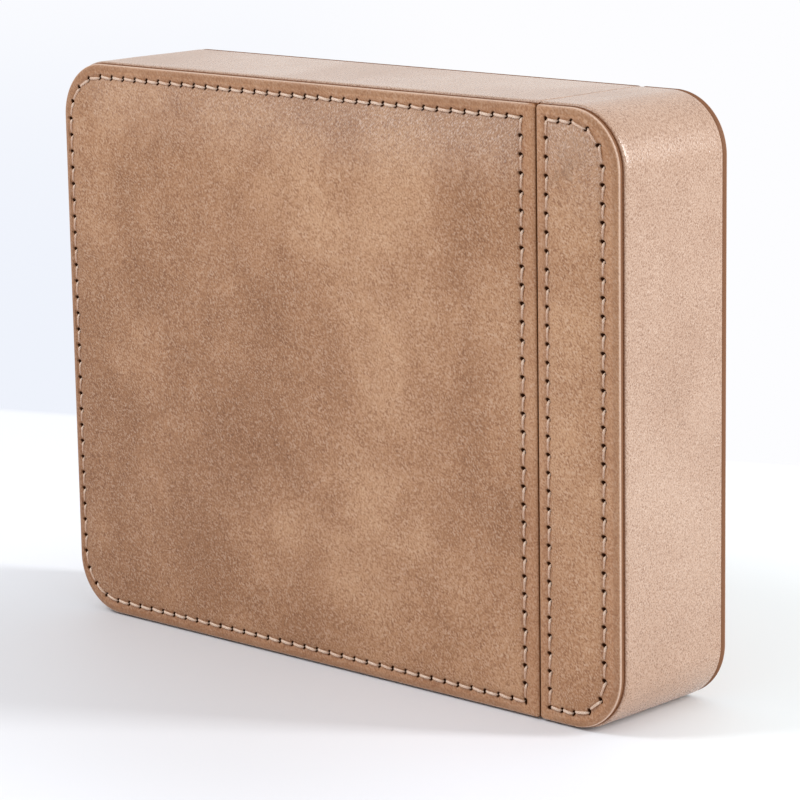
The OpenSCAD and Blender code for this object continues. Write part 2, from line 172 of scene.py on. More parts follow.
camera = bpy.data.objects.new("camera", bpy.data.cameras.new("camera"))
bpy.context.scene.collection.objects.link(camera)
camera.data.sensor_width = 36
camera.data.lens = camera_lens
camera.data.clip_start = 0.01
camera.data.clip_end = 20
camera.matrix_world = (
    Matrix.Translation(camera_place)
    @ Matrix.Rotation(camera_yaw, 4, "Z")
    @ Matrix.Rotation(math.pi / 2 - camera_pitch, 4, "X")
    @ Matrix.Rotation(camera_roll, 4, "Z")
)
bpy.context.scene.camera = camera

# %% [markdown]
# ## Tools for thin skins
# A panel, a cover or a lining is a skin that runs round and round: its mesh is a stack of rings
# with quads between them, and a fill where the last ring is left open. Rings give close control
# of a folded edge, and they let points crowd where a needle hole needs them.

# %% A mesh that grows ring by ring
class Skin:
    """Collects points and faces. Rings run anticlockwise as seen from outside."""

    def __init__(self):
        self.points = []
        self.faces = []
        self.count = 0

    def ring(self, points):
        ids = np.arange(self.count, self.count + len(points))
        self.points.append(np.asarray(points, float))
        self.count += len(points)
        return ids

    def join(self, a, b):
        """Quads between two rings with as many points."""
        self.faces += np.stack([a, np.roll(a, -1), np.roll(b, -1), b], 1).tolist()

    def halve(self, a, b):
        """Joins a ring to the next one, which has half as many points."""
        first, middle, after = a[0::2], a[1::2], np.roll(a[0::2], -1)
        b_next = np.roll(b, -1)
        for corner in ([first, middle, b], [middle, b_next, b], [middle, after, b_next]):
            self.faces += np.stack(corner, 1).tolist()

    def stack(self, rings):
        """Adds rings one after the other, joined, and returns the ids of each."""
        added = [self.ring(points) for points in rings]
        for a, b in zip(added, added[1:]):
            self.join(a, b)
        return added

    def lid(self, ids):
        """One flat face over a ring."""
        self.faces.append([int(i) for i in ids])

    def sheet(self, outer, inner):
        """A thick sheet between two grids of points, closed round its four borders."""
        rows, columns = outer.shape[:2]
        top = self.ring(outer.reshape(-1, 3)).reshape(rows, columns)
        under = self.ring(inner.reshape(-1, 3)).reshape(rows, columns)
        for grid in (top, under[::-1]):
            quads = [grid[:-1, :-1], grid[1:, :-1], grid[1:, 1:], grid[:-1, 1:]]
            self.faces += np.stack([q.ravel() for q in quads], 1).tolist()
        border = [(0, j) for j in range(columns)] + [(i, columns - 1) for i in range(1, rows)]
        border += [(rows - 1, j) for j in range(columns - 2, -1, -1)]
        border += [(i, 0) for i in range(rows - 2, 0, -1)]
        rim = np.array([top[i, j] for i, j in border])
        hem = np.array([under[i, j] for i, j in border])
        self.join(hem, rim)

    def flip(self):
        self.faces = [face[::-1] for face in self.faces]

    def all_points(self):
        return np.concatenate(self.points)


def inside(points, ring):
    """Which points lie inside a closed outline."""
    x, z = points[:, 0, None], points[:, 1, None]
    x0, z0 = ring[None, :, 0], ring[None, :, 1]
    x1, z1 = np.roll(x0, -1, 1), np.roll(z0, -1, 1)
    crosses = (z0 > z) != (z1 > z)
    rise = np.where(z1 == z0, 1, z1 - z0)
    return (crosses & (x < x0 + (z - z0) * (x1 - x0) / rise)).sum(1) % 2 == 1


def fill(skin, ids, outline, spacing, lift):
    """Fills a ring with triangles over an even grid; lift gives the points' places."""
    clearance = 0.6 * spacing
    low, high = outline.min(0), outline.max(0)
    xs = np.arange(low[0] + spacing / 2, high[0], spacing)
    zs = np.arange(low[1] + spacing / 2, high[1], spacing)
    grid = np.stack(np.meshgrid(xs, zs), -1).reshape(-1, 2)
    grid = grid[inside(grid, outline)]
    away = np.linalg.norm(grid[:, None] - outline[None], axis=2).min(1)
    grid = grid[away > clearance]
    new = skin.ring(lift(grid))
    both = np.concatenate([outline, grid])
    lookup = np.concatenate([ids, new])
    n = len(outline)
    edges = [(i, (i + 1) % n) for i in range(n)]
    found = delaunay_2d_cdt(both.tolist(), edges, [], 1, 1e-6)
    origin = [group[0] for group in found[3]]
    for face in found[2]:
        a, b, c = (origin[i] for i in face)
        area = np.cross(both[b] - both[a], both[c] - both[a])
        turn = (a, b, c) if area > 0 else (a, c, b)
        skin.faces.append([int(lookup[i]) for i in turn])


# %% From a skin to a piece of the case
def make_piece(name, skin, body, stands_for, slot, marks=None, crease=40):
    """Turns a skin, in millimetres, into an object that rides on its body."""
    mesh = bpy.data.meshes.new(name)
    mesh.from_pydata((skin.all_points() * MM).tolist(), [], skin.faces)
    mesh.shade_smooth()
    mesh.set_sharp_from_angle(angle=math.radians(crease))
    for mark, values in (marks or {}).items():
        layer = mesh.attributes.new(mark, "FLOAT", "POINT")
        layer.data.foreach_set("value", np.asarray(values, np.float32))
    made = bpy.data.objects.new(name, mesh)
    bpy.context.scene.collection.objects.link(made)
    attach(made, body)
    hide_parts(*stands_for)
    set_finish(made, slot)
    print(name, len(mesh.vertices), "points")
    return made


# %% Outlines, as shares of a line or an arc
def line(a, b, steps):
    return np.array(a, float) + (np.array(b, float) - np.array(a, float)) * steps[:, None]


def arc(centre, radius, start, stop, steps):
    angle = np.radians(start + (stop - start) * steps)
    return np.array(centre, float) + radius * np.stack([np.cos(angle), np.sin(angle)], 1)


def even(count):
    return np.arange(count) / count


def rounded_ring(low, high, near_r, far_r, steps):
    """A rectangle with rounded corners, anticlockwise from its lower near corner.

    steps holds the shares for: bottom, corner, far side, corner, top, corner, near side, corner.
    """
    x0, z0 = low
    x1, z1 = high
    return np.concatenate([
        line((x0 + near_r, z0), (x1 - far_r, z0), steps[0]),
        arc((x1 - far_r, z0 + far_r), far_r, -90, 0, steps[1]),
        line((x1, z0 + far_r), (x1, z1 - far_r), steps[2]),
        arc((x1 - far_r, z1 - far_r), far_r, 0, 90, steps[3]),
        line((x1 - far_r, z1), (x0 + near_r, z1), steps[4]),
        arc((x0 + near_r, z1 - near_r), near_r, 90, 180, steps[5]),
        line((x0, z1 - near_r), (x0, z0 + near_r), steps[6]),
        arc((x0 + near_r, z0 + near_r), near_r, 180, 270, steps[7]),
    ])


# %% [markdown]
# Leather and suede are never flat. Smooth noise on a lattice of random heights gives them their
# slow swell, and a fixed seed gives the same swell each time.

# %% Smooth noise
def soft_noise(x, z, size, seed):
    """Noise from -1 to 1 whose swells are about size millimetres across."""
    lattice = 64
    heights = np.random.default_rng(seed).uniform(-1, 1, (lattice, lattice))
    u, v = np.asarray(x) / size, np.asarray(z) / size
    i, j = np.floor(u).astype(int), np.floor(v).astype(int)
    su, sv = smooth(u - i), smooth(v - j)
    rows = [
        heights[i % lattice, k % lattice] * (1 - su) + heights[(i + 1) % lattice, k % lattice] * su
        for k in (j, j + 1)
    ]
    return rows[0] * (1 - sv) + rows[1] * sv


def smooth(t):
    t = np.clip(t, 0, 1)
    return t * t * (3 - 2 * t)


# %% [markdown]
# ## The stitch line
# On the real case a needle goes through leather and card, and each stitch lies between two
# holes. The holes are cut by a slanted blade, so a stitch leaves at the high end of one slot
# and dives into the low end of the next. The rows are shared out evenly, as the frame has them:
# along each side, and round each of the two rounded corners.

# %% Holes and stitches of one panel
seam_corner_r = 0.6


def sewn_rows(section):
    """The rows of the stitch line, anticlockwise in (u, v), each with its number of stitches."""
    r = corner_r - section.stitch_end
    x0, x1 = section.stitch_seam, section.length - section.stitch_end
    z0, z1 = section.stitch_edge, case_height - section.stitch_edge
    along = max(1, round((x1 - r - x0) / stitch_pitch))
    up = max(1, round((z1 - z0) / stitch_pitch))
    up_far = max(1, round((z1 - z0 - 2 * r) / stitch_pitch))
    bend = max(1, round(r * math.pi / 2 / stitch_pitch))
    return {
        "low": (x0, z0),
        "high": (x1, z1),
        "radius": r,
        "counts": [along, bend, up_far, bend, along, 0, up, 0],
    }


def needle_holes(section):
    """The needle holes in order, ending where they start."""
    rows = sewn_rows(section)
    steps = [even(count) for count in rows["counts"]]
    ring = rounded_ring(rows["low"], rows["high"], 0, rows["radius"], steps)
    return np.concatenate([ring, ring[:1]])


def stitch_distance(section, u, v):
    """Distance from the stitch line: above 0 in the margin, below 0 inside it."""
    rows = sewn_rows(section)
    low, high = np.array(rows["low"]), np.array(rows["high"])
    centre, half = (low + high) / 2, (high - low) / 2
    r = np.where(u > centre[0], rows["radius"], seam_corner_r)
    qx = np.abs(u - centre[0]) - half[0] + r
    qz = np.abs(v - centre[1]) - half[1] + r
    beyond = np.hypot(np.maximum(qx, 0), np.maximum(qz, 0))
    return np.minimum(np.maximum(qx, qz), 0) + beyond - r


for section in (sleeve, head):
    print(section.name, "stitches a panel:", len(needle_holes(section)) - 1)

# %% [markdown]
# ## Leather panels
# Each panel is leather drawn over card and folded round its edge, so its edge is a half round.
# The thread pulls a shallow valley into the leather, and what lies inside the valley is a
# little puffed. A bump map could fake the grain but not the fold, so fold, valley, holes and
# puff are geometry. Rings are close together at the fold and at the stitch line and get wider
# towards the middle, and along the rings the points crowd at each needle hole.

# %% How the leather stands over its card
puff = 0.34
puff_w = 2.6
valley = 0.24
valley_w = 0.7
broad_swell = 0.05
fine_swell = 0.03
pucker_h = 0.06
pucker_w = 2.0
slot_depth = 0.5
slot_half_w = 0.44
slot_half_l = 0.80
slot_reach = 1.6
slot_slant = math.radians(62)
stitch_slant = math.radians(7)


def view_turn(section, side):
    """1 where u runs to the right for somebody who looks at that face, otherwise -1."""
    return -side * section.way


def travel(section, side):
    """Holes of a panel in the sewing direction, clockwise for somebody who looks at it."""
    holes = needle_holes(section)
    return holes[::-1] if view_turn(section, side) > 0 else holes


def turned(vector, angle):
    c, s = np.cos(angle), np.sin(angle)
    x, z = vector[:, 0], vector[:, 1]
    return np.stack([c * x - s * z, s * x + c * z], 1)


def hole_depth(section, side, u, v):
    """How far a point lies in a needle slot, from 0 to 1."""
    holes = travel(section, side)
    ahead = np.roll(holes[:-1], -1, 0) - np.roll(holes[:-1], 1, 0)
    ahead /= np.linalg.norm(ahead, axis=1)[:, None]
    slot = turned(ahead, slot_slant * view_turn(section, side))
    points = np.stack([u, v], 1)
    deep = np.zeros(len(points))
    close = np.abs(stitch_distance(section, u, v)) < slot_reach
    offset = points[close][:, None] - holes[:-1][None]
    nearest = (offset ** 2).sum(2).argmin(1)
    offset = offset[np.arange(len(nearest)), nearest]
    axis = slot[nearest]
    along = (offset * axis).sum(1)
    across = offset[:, 0] * axis[:, 1] - offset[:, 1] * axis[:, 0]
    deep[close] = np.exp(-(along / slot_half_l) ** 2 - (across / slot_half_w) ** 2)
    return deep


def panel_relief(section, side, u, v):
    """Height of the leather over a flat panel."""
    d = stitch_distance(section, u, v)
    seed = side + (11 if section is sleeve else 23)
    inner = puff * (1 - np.exp(np.minimum(d, 0) / puff_w))
    sunk = valley * np.exp(-(d / valley_w) ** 2)
    swell = broad_swell * soft_noise(u, v, 22, seed) + fine_swell * soft_noise(u, v, 9, seed + 5)
    pucker = pucker_h * soft_noise(u, v, 1.9, seed + 9) * np.exp(-(d / pucker_w) ** 2)
    return inner - sunk + swell + pucker - slot_depth * hole_depth(section, side, u, v)


def crease_place(section, u, v):
    """Where a point lies along the top row and on down the far column, and how far inside."""
    rows = sewn_rows(section)
    r = rows["radius"]
    x1, z1 = rows["high"]
    below, beside = z1 - v, x1 - u
    over_x, over_z = np.maximum(r - beside, 1e-6), np.maximum(r - below, 1e-6)
    in_corner = (beside < r) & (below < r)
    column = x1 - r + r * math.pi / 2 + below - r
    along = np.where(below < beside, u, column)
    along = np.where(in_corner, x1 - r + r * np.arctan2(over_x, over_z), along)
    across = np.where(in_corner, r - np.hypot(over_x, over_z), np.minimum(below, beside))
    return along, across, np.maximum(along - (x1 - r), 0)


# %% Rings of a panel, from its back, round the fold and in to the middle
# far_inset is how far the front and the back panel lie inside their band, away from the seam.
hole_crowding = 0.62
samples_a_stitch = 12
near_corner_r = 0.9
far_inset = {-1: 0.5, 1: 0.1}
near_inset = 0.03
fold_profile = [(0.27, 0.0), (0.2, 0.12), (0.12, 0.35), (0.05, 0.65), (0.01, 0.92), (0.0, 1.12),
                (0.04, 1.28), (0.14, 1.43), (0.29, 1.55), (0.5, 1.65), (0.78, 1.73), (1.1, 1.78),
                (1.45, 1.8)]
ring_distances = [1.15, 0.95, 0.78, 0.62, 0.46, 0.3, 0.15, 0.0,
                  -0.15, -0.3, -0.46, -0.62, -0.78, -0.95, -1.15]
wide_distances = [-1.5, -2.0]
open_distances = [-2.8, -4.0]
fill_spacing = 2.6

# %% Where a panel is marked for its finish: the groove's painted shade, the fold's crest with its painted highlight, the creases
shade_top = {-1: 1.32, 1: 1.4}
crest_highlight_at_seam = {"sleeve": 0.0, "head": 0.6}
crease_reach = 20.0
crease_column = {"sleeve": 12, "head": 36}


def crowded(count):
    """Shares along a row of stitches, closer together at the needle holes."""
    t = np.arange(samples_a_stitch) / samples_a_stitch
    t = t - hole_crowding * np.sin(2 * np.pi * t) / (2 * np.pi)
    return np.concatenate([(k + t) / count for k in range(count)])


def panel_steps(section, keep):
    counts = sewn_rows(section)["counts"]
    steps = [crowded(count) if count else even(8) for count in counts]
    return [row[::keep] for row in steps]


def panel_outline(section, distance, keep=1):
    """The ring at a distance from the stitch line, and never outside the folded edge."""
    rows = sewn_rows(section)
    low = np.array(rows["low"]) - distance
    high = np.array(rows["high"]) + distance
    near_r = seam_corner_r + max(distance, 0) * 0.3
    return rounded_ring(low, high, near_r, rows["radius"] + distance, panel_steps(section, keep))


def edge_outline(section, side, inset):
    """The folded edge's outline. The panel sits a little inside its band, but not at the seam."""
    far = inset + far_inset[side]
    low = (inset + near_inset, far)
    high = (section.length - far, case_height - far)
    return rounded_ring(low, high, max(0.3, near_corner_r - inset), corner_r - far,
                        panel_steps(section, 1))


def make_panel(section, side):
    skin = Skin()
    top = section.panel_t
    at_seam = crest_highlight_at_seam[section.name]
    flat, fold_share, under, painted_crest_highlight, roll = [], [], [], [], []

    def lift(outline, height, share):
        """Adds the relief to a ring, more of it the further it lies from the fold."""
        u, v = outline[:, 0], outline[:, 1]
        flat.append(outline)
        fold_share.append(np.full(len(outline), share))
        # The groove under the fold is marked to be painted dark in the finish, a painted shade.
        under.append(np.full(len(outline), smooth((shade_top[side] - height) / 0.35)))
        off_seam = at_seam + (1 - at_seam) * smooth((u - 1) / 2)
        # The fold's crest is marked to be painted lighter in the finish, a painted highlight; on
        # the head it partly reaches the seam, on the sleeve not.
        painted_crest_highlight.append(smooth((top - 0.22 - height) / 0.2) * off_seam)
        # Where the roll begins to turn is marked to be painted a little darker in the finish, a
        # painted shade.
        roll.append(smooth((height - top + 0.3) / 0.2) * smooth((u - 3) / 3) * (share == 1))
        rise = panel_relief(section, side, u, v) * (1 - share)
        return section.place(u, v, height + rise, side)

    rings = []
    for inset, height in fold_profile:
        rings.append(lift(edge_outline(section, side, inset), height * top / 1.8, 1.0))
    first = edge_outline(section, side, fold_profile[-1][0])
    outermost = panel_outline(section, ring_distances[0])
    for share in (0.35, 0.7):
        rings.append(lift(first + (outermost - first) * share, top, 1 - smooth(share)))
    for distance in ring_distances:
        rings.append(lift(panel_outline(section, distance), top, 0.0))
    added = skin.stack(rings)
    skin.lid(added[0][::-1])
    last = added[-1]
    for distances, keep in ((wide_distances, 2), (open_distances, 4)):
        for distance in distances:
            outline = panel_outline(section, distance, keep)
            ids = skin.ring(lift(outline, top, 0.0))
            if len(ids) == len(last):
                skin.join(last, ids)
            else:
                skin.halve(last, ids)
            last = ids
    fill(skin, last, outline, fill_spacing, lambda grid: lift(grid, top, 0.0))
    if view_turn(section, side) < 0:
        skin.flip()
    flat = np.concatenate(flat)
    fold_share = np.concatenate(fold_share)
    d = stitch_distance(section, flat[:, 0], flat[:, 1])
    along, across, past = crease_place(section, flat[:, 0], flat[:, 1])
    down_column = smooth(1 - past / crease_column[section.name])
    to_seam = 0.35 + 0.65 * smooth(1.2 - flat[:, 0] / 120)
    marks = {
        "margin": smooth((d + 0.4) / 1.2),
        "fold": np.concatenate(painted_crest_highlight),
        "under": np.concatenate(under),
        "roll": np.concatenate(roll),
        # Needle slots: painted dark in the finish, a painted shade.
        "hole": hole_depth(section, side, flat[:, 0], flat[:, 1]) * (1 - fold_share),
        "pull": smooth(1 - across / crease_reach) * down_column * smooth(-d / 0.5) * to_seam,
        "crease_along": along,
        "crease_across": across,
        # The stitch valley, painted darker in the finish as a painted shade.
        "valley": np.exp(-(d / 0.9) ** 2) * (1 - fold_share),
    }
    name = section.face(side)
    make_piece(name + "_panel", skin, section.body, [name + "_leather"], "panel_leather", marks)


for section, side in every_face:
    make_panel(section, side)

# %% [markdown]
# ## Thread
# The thread is three twisted plies. Each stitch is its own short rope: it comes up out of one
# slot, lies in the valley and dives into the next, and it lies a little across the line because
# the slots are slanted. On an upright row a stitch stands proud near its top and sinks slowly
# towards its foot. A tube of plain round section would look like wire, so the section has three
# lobes that turn along the stitch.

# %% Stitches of one panel
# Level and upright stitches differ: in how high they rise, in how suddenly they dive, and in how
# much shorter they are than the distance between their slots.
plies = 3
ply_depth = 0.2
ply_turn = 1.7
thread_r = 0.33
rise_level = 0.28
rise_upright = 0.10
dive = 0.95
dive_level = 4.6
dive_top = 7.0
dive_foot = 2.6
lean = 0.10
raised = 0.16
short_level = 0.40
short_upright = 0.24
end_crowding = 0.8
end_taper = 0.2
rings_a_stitch = 17
sides_a_ring = 12


def make_thread(section, side):
    holes = travel(section, side)
    turn = view_turn(section, side)
    rng = np.random.default_rng(7 + len(holes) + side)
    start, stop = holes[:-1], holes[1:]
    count = len(start)
    chord = stop - start
    length = np.linalg.norm(chord, axis=1)[:, None]
    along = chord / length
    along = turned(along, -turn * (stitch_slant + rng.normal(0, 0.02, count)))
    across = np.stack([-along[:, 1], along[:, 0]], 1)
    middle = (start + stop) / 2
    t = np.linspace(-1, 1, rings_a_stitch)
    t = np.sign(t) * np.abs(t) ** end_crowding
    upright = np.abs(along[:, 1:])
    half = length / 2 - short_level + (short_level - short_upright) * upright
    upwards_sign = np.sign(along[:, 1:])
    reach = half * t[None] + raised * upright * upwards_sign
    from_top = t[None] * upwards_sign
    rise = rise_level + (rise_upright - rise_level) * upright + lean * upright * from_top
    power = dive_level + (np.where(from_top > 0, dive_top, dive_foot) - dive_level) * upright
    bed = -valley + rise + rng.normal(0, 0.02, (count, 1))
    height = bed - (dive + bed) * np.abs(t[None]) ** power
    steep = power * np.abs(t[None]) ** (power - 1) * np.sign(t[None])
    slope = -(dive + bed) * steep / half
    bow = rng.normal(0, 0.03, (count, 1)) * (1 - t[None] ** 2)
    flat = middle[:, None] + along[:, None] * reach[:, :, None] + across[:, None] * bow[:, :, None]
    tilt = np.arctan(slope)
    angle = 2 * np.pi * np.arange(sides_a_ring) / sides_a_ring
    phase = rng.uniform(0, 2 * np.pi, (count, 1, 1)) + 2 * np.pi * reach[:, :, None] / ply_turn
    shaded = smooth((0.62 - from_top) / 0.3) * upright ** 2
    thick = thread_r * (1 + rng.normal(0, 0.03, (count, 1, 1))) * (1 - 0.15 * shaded[:, :, None])
    taper = 1 - end_taper * np.abs(t[None, :, None]) ** 6
    lobes = np.cos(plies * (angle[None, None] - turn * phase))
    radius = thick * taper * (1 + ply_depth * lobes)
    sideways = radius * np.cos(angle)
    upwards = radius * np.sin(angle)
    u = flat[:, :, 0, None] + across[:, None, 0, None] * sideways
    v = flat[:, :, 1, None] + across[:, None, 1, None] * sideways
    u = u - along[:, None, 0, None] * upwards * np.sin(tilt)[:, :, None]
    v = v - along[:, None, 1, None] * upwards * np.sin(tilt)[:, :, None]
    w = section.panel_t + height[:, :, None] + upwards * np.cos(tilt)[:, :, None]
    skin = Skin()
    for k in range(count):
        rings = [section.place(u[k, i], v[k, i], w[k, i], side) for i in range(rings_a_stitch)]
        added = skin.stack(rings)
        skin.lid(added[0][::-1])
        skin.lid(added[-1])
    if turn > 0:
        skin.flip()
    marks = {
        # The grooves between the plies, painted darker in the finish as a painted shade.
        "groove": ((1 - lobes) / 2).ravel(),
        "shaded": np.repeat(shaded.ravel(), sides_a_ring),
    }
    name = section.face(side)
    make_piece(name + "_thread", skin, section.body, [name + "_stitching"], "thread", marks, 180)


for section, side in every_face:
    make_thread(section, side)

# %% [markdown]
# ## Leather round the rim
# One strip of leather runs over the top, round the end and back along the bottom of each
# section. Its edges are skived and turned, so they are rounded where they meet the panels, and
# that rounding beside the panels' half round gives the dark groove in the photograph.
# The rounded edge is also painted darker in the finish, a painted shade of that groove.

# %% Rim bands
band_edge_w = 0.9
band_edge_h = 0.55
band_end_w = 0.22
round_steps = np.radians(np.linspace(0, 90, 6))


def bend(radius, angles=round_steps):
    """A round edge from its side to its top: how far in and how far down each step lies."""
    return [(radius * (1 - math.cos(a)), radius * (1 - math.sin(a))) for a in angles]


def eased(length, step, edge_w):
    """Places across a strip and how far its surface drops there, with both edges rounded."""
    rounded = edge_w * (1 - np.cos(round_steps))
    drop = min(band_edge_h, edge_w) * (1 - np.sin(round_steps))
    flat = np.linspace(edge_w, length - edge_w, max(3, int(length / step)))[1:-1]
    places = np.concatenate([rounded, flat, length - rounded[::-1]])
    drops = np.concatenate([drop, np.zeros(len(flat)), drop[::-1]])
    return places, drops


def rim_path(section, travelled, inset):
    """Points on the rim's outline, moved in by inset, at a distance along it."""
    straight = section.length - corner_r
    bend = corner_r * math.pi / 2
    side = case_height - 2 * corner_r
    knots = np.cumsum([0, straight, bend, side, bend, straight])
    points = np.zeros((len(travelled), 2))
    r = corner_r - inset
    for k, s in enumerate(travelled):
        if s < knots[1]:
            points[k] = (s, inset)
        elif s < knots[2]:
            a = (s - knots[1]) / corner_r - math.pi / 2
            points[k] = (straight + r * math.cos(a), corner_r + r * math.sin(a))
        elif s < knots[3]:
            points[k] = (section.length - inset, corner_r + s - knots[2])
        elif s < knots[4]:
            a = (s - knots[3]) / corner_r
            points[k] = (straight + r * math.cos(a), case_height - corner_r + r * math.sin(a))
        else:
            points[k] = (straight - (s - knots[4]), case_height - inset)
    return points, knots[-1]


def make_band(section):
    low, high = corners(section.name + "_band_leather")
    width = high[1] - low[1]
    total = rim_path(section, np.zeros(1), 0)[1]
    along, along_drop = eased(total, 1.1, band_end_w)
    across, across_drop = eased(width, 1.4, band_edge_w)
    on_rim = rim_path(section, along, 0)[0]
    under_rim = rim_path(section, along, leather_t)[0]
    inward = (under_rim - on_rim) / leather_t
    seed = 31 if section is sleeve else 37
    s, y = np.meshgrid(along, across, indexing="ij")
    swell = 0.035 * soft_noise(s, y, 14, seed) + 0.015 * soft_noise(s, y, 5, seed + 1)
    rounded = np.minimum(along_drop[:, None] + across_drop[None], band_edge_h)
    drop = rounded - swell * (rounded < 0.01)

    def placed(flat):
        return np.stack([section.start + section.way * flat[..., 0], low[1] + y, flat[..., 1]], 2)

    outer = placed(on_rim[:, None] + inward[:, None] * drop[:, :, None])
    inner = placed(np.repeat(under_rim[:, None], len(across), 1))
    skin = Skin()
    skin.sheet(outer, inner)
    if section.way > 0:
        skin.flip()
    # The rounded edges are marked to be painted darker in the finish, a painted shade of the
    # groove.
    edge = np.concatenate([rounded.ravel(), np.full(rounded.size, band_edge_h)]) / band_edge_h
    name = section.name + "_band_leather"
    make_piece(section.name + "_rim_leather", skin, section.body, [name], "band_leather",
               {"fold": edge})


for section in (sleeve, head):
    make_band(section)

# %% [markdown]
# ## Leather at the seam
# The sleeve's mouth is trimmed with a leather ring, and the head has a leather face towards it.
# Both sit back a little, so that the panels' folded edges meet first when the drawer shuts.

# %% Mouth ring and head facing
plate_edge_r = 0.35
plate_corner_r = 1.2
facing_border = np.array([4.0, 8.0])


def seam_rings(low, high, hole_low, hole_high):
    """Rings over the outer face of a plate in (y, z), each with how deep it dips, outside in."""
    steps = [even(n) for n in (24, 3, 60, 3, 24, 3, 60, 3)]
    edge = bend(plate_edge_r)

    def ring(ring_low, ring_high):
        return rounded_ring(ring_low, ring_high, plate_corner_r, plate_corner_r, steps)

    from_low, from_high = low + plate_edge_r, high - plate_edge_r
    to_low, to_high = hole_low - plate_edge_r, hole_high + plate_edge_r
    rings = [(ring(low + grow, high - grow), dip) for grow, dip in edge]
    for share in (0.25, 0.5, 0.75):
        rings.append((ring(from_low + (to_low - from_low) * share,
                           from_high + (to_high - from_high) * share), 0.0))
    return rings + [(ring(hole_low - grow, hole_high + grow), dip) for grow, dip in edge[::-1]]


def plate_points(ring, x, dip):
    """Places a ring drawn in (y, z) on a plane across X."""
    relief = 0.04 * soft_noise(ring[:, 0], ring[:, 1], 7, 41)
    across = np.full(len(ring), x) + (dip - relief * (dip == 0))
    return np.stack([across, ring[:, 0], ring[:, 1]], 1)


def make_mouth_ring():
    low, high = corners("sleeve_mouth_trim")
    lining_low, lining_high = corners("sleeve_lining")
    rings = seam_rings(low[1:], high[1:], lining_low[1:], lining_high[1:])
    skin = Skin()
    stack = [plate_points(ring, high[0], -dip) for ring, dip in rings]
    back = [plate_points(ring, low[0], 0) for ring in (rings[-1][0], rings[0][0])]
    added = skin.stack(stack + back)
    skin.join(added[-1], added[0])
    make_piece("mouth_leather", skin, "sleeve", ["sleeve_mouth_trim"], "band_leather",
               {"fold": np.zeros(skin.count)})


def make_head_facing():
    low, high = corners("head_facing")
    rings = seam_rings(low[1:], high[1:], low[1:] + facing_border, high[1:] - facing_border)
    rings = rings[:-len(round_steps)]
    skin = Skin()
    stack = [plate_points(ring, low[0], dip) for ring, dip in rings]
    back = plate_points(rings[0][0], high[0], 0)
    added = skin.stack([back] + stack)
    skin.lid(added[0][::-1])
    fill(skin, added[-1], rings[-1][0], 5.0, lambda grid: plate_points(grid, low[0], 0))
    skin.flip()
    make_piece("head_face_leather", skin, "drawer", ["head_facing"], "band_leather",
               {"fold": np.zeros(skin.count)})


make_mouth_ring()
make_head_facing()

# %% [markdown]
# ## Suede lining of the sleeve
# The sleeve is lined like a glove box: one suede on all four walls and on the end, with soft
# corners, because suede won't fold sharply into a corner.

# %% Sleeve lining
lining_corner_r = 1.6
lining_outer_r = 0.8
lining_lip = 0.3


def make_lining():
    low, high = corners("sleeve_lining")
    steps = [even(n) for n in (14, 5, 60, 5, 14, 5, 60, 5)]
    lip_start, end = high[0] - lining_lip, low[0]
    inner_end = end + lining_t
    centre = (low[1:] + high[1:]) / 2

    def outline(inset, r):
        return rounded_ring(low[1:] + inset, high[1:] - inset, r, r, steps)

    def wall(x, inset, r):
        ring = outline(inset, r)
        across = np.full(len(ring), x)
        swell = 0.06 * soft_noise(across + ring[:, 0], ring[:, 1], 8, 53) * (inset > 0.5)
        inward = (centre - ring) / np.linalg.norm(centre - ring, axis=1)[:, None]
        moved = ring + inward * swell[:, None]
        return np.stack([across, moved[:, 0], moved[:, 1]], 1)

    rings = [wall(end, 0.0, lining_outer_r)]
    for angle in np.radians(np.linspace(0, 180, 7)):
        inset = lining_t / 2 * (1 - math.cos(angle))
        rings.append(wall(lip_start + lining_lip * math.sin(angle), inset, lining_outer_r + inset))
    for share in np.linspace(0, 1, 48)[1:]:
        x = lip_start + (inner_end + lining_corner_r - high[0]) * share
        rings.append(wall(x, lining_t, lining_corner_r))
    for grow, off_end in bend(lining_corner_r)[1:]:
        rings.append(wall(inner_end + off_end, lining_t + grow, lining_corner_r))
    skin = Skin()
    added = skin.stack(rings)
    skin.lid(added[0][::-1])
    last = outline(lining_t + lining_corner_r, lining_corner_r)

    def end_wall(grid):
        bulge = 0.08 * soft_noise(grid[:, 0], grid[:, 1], 9, 59)
        return np.stack([inner_end + bulge, grid[:, 0], grid[:, 1]], 1)

    fill(skin, added[-1], last, 4.0, end_wall)
    make_piece("sleeve_suede", skin, "sleeve", ["sleeve_lining"], "suede")


make_lining()

# %% [markdown]
# ## Suede on the tray
# The tray is a shallow tub of thin wood, wrapped in suede outside, over the rim and down the
# inside. Suede over a thin wall makes a fully rounded rim, so the rings go up the outer wall,
# over a half round, and down to the floor.

# %% Tray cover
tray_wall_t = 3.0
tray_head_wall_t = 3.5
tray_edge_r = 0.9
tray_corner_r = 1.8
tray_fill_spacing = 8.0
rim_angles = np.radians(np.linspace(0, 180, 13))


def tub_points(ring, height):
    """Places a ring drawn in (x, z) at a height towards the front, which is -Y."""
    return np.stack([ring[:, 0], np.full(len(ring), -1.0) * height, ring[:, 1]], 1)


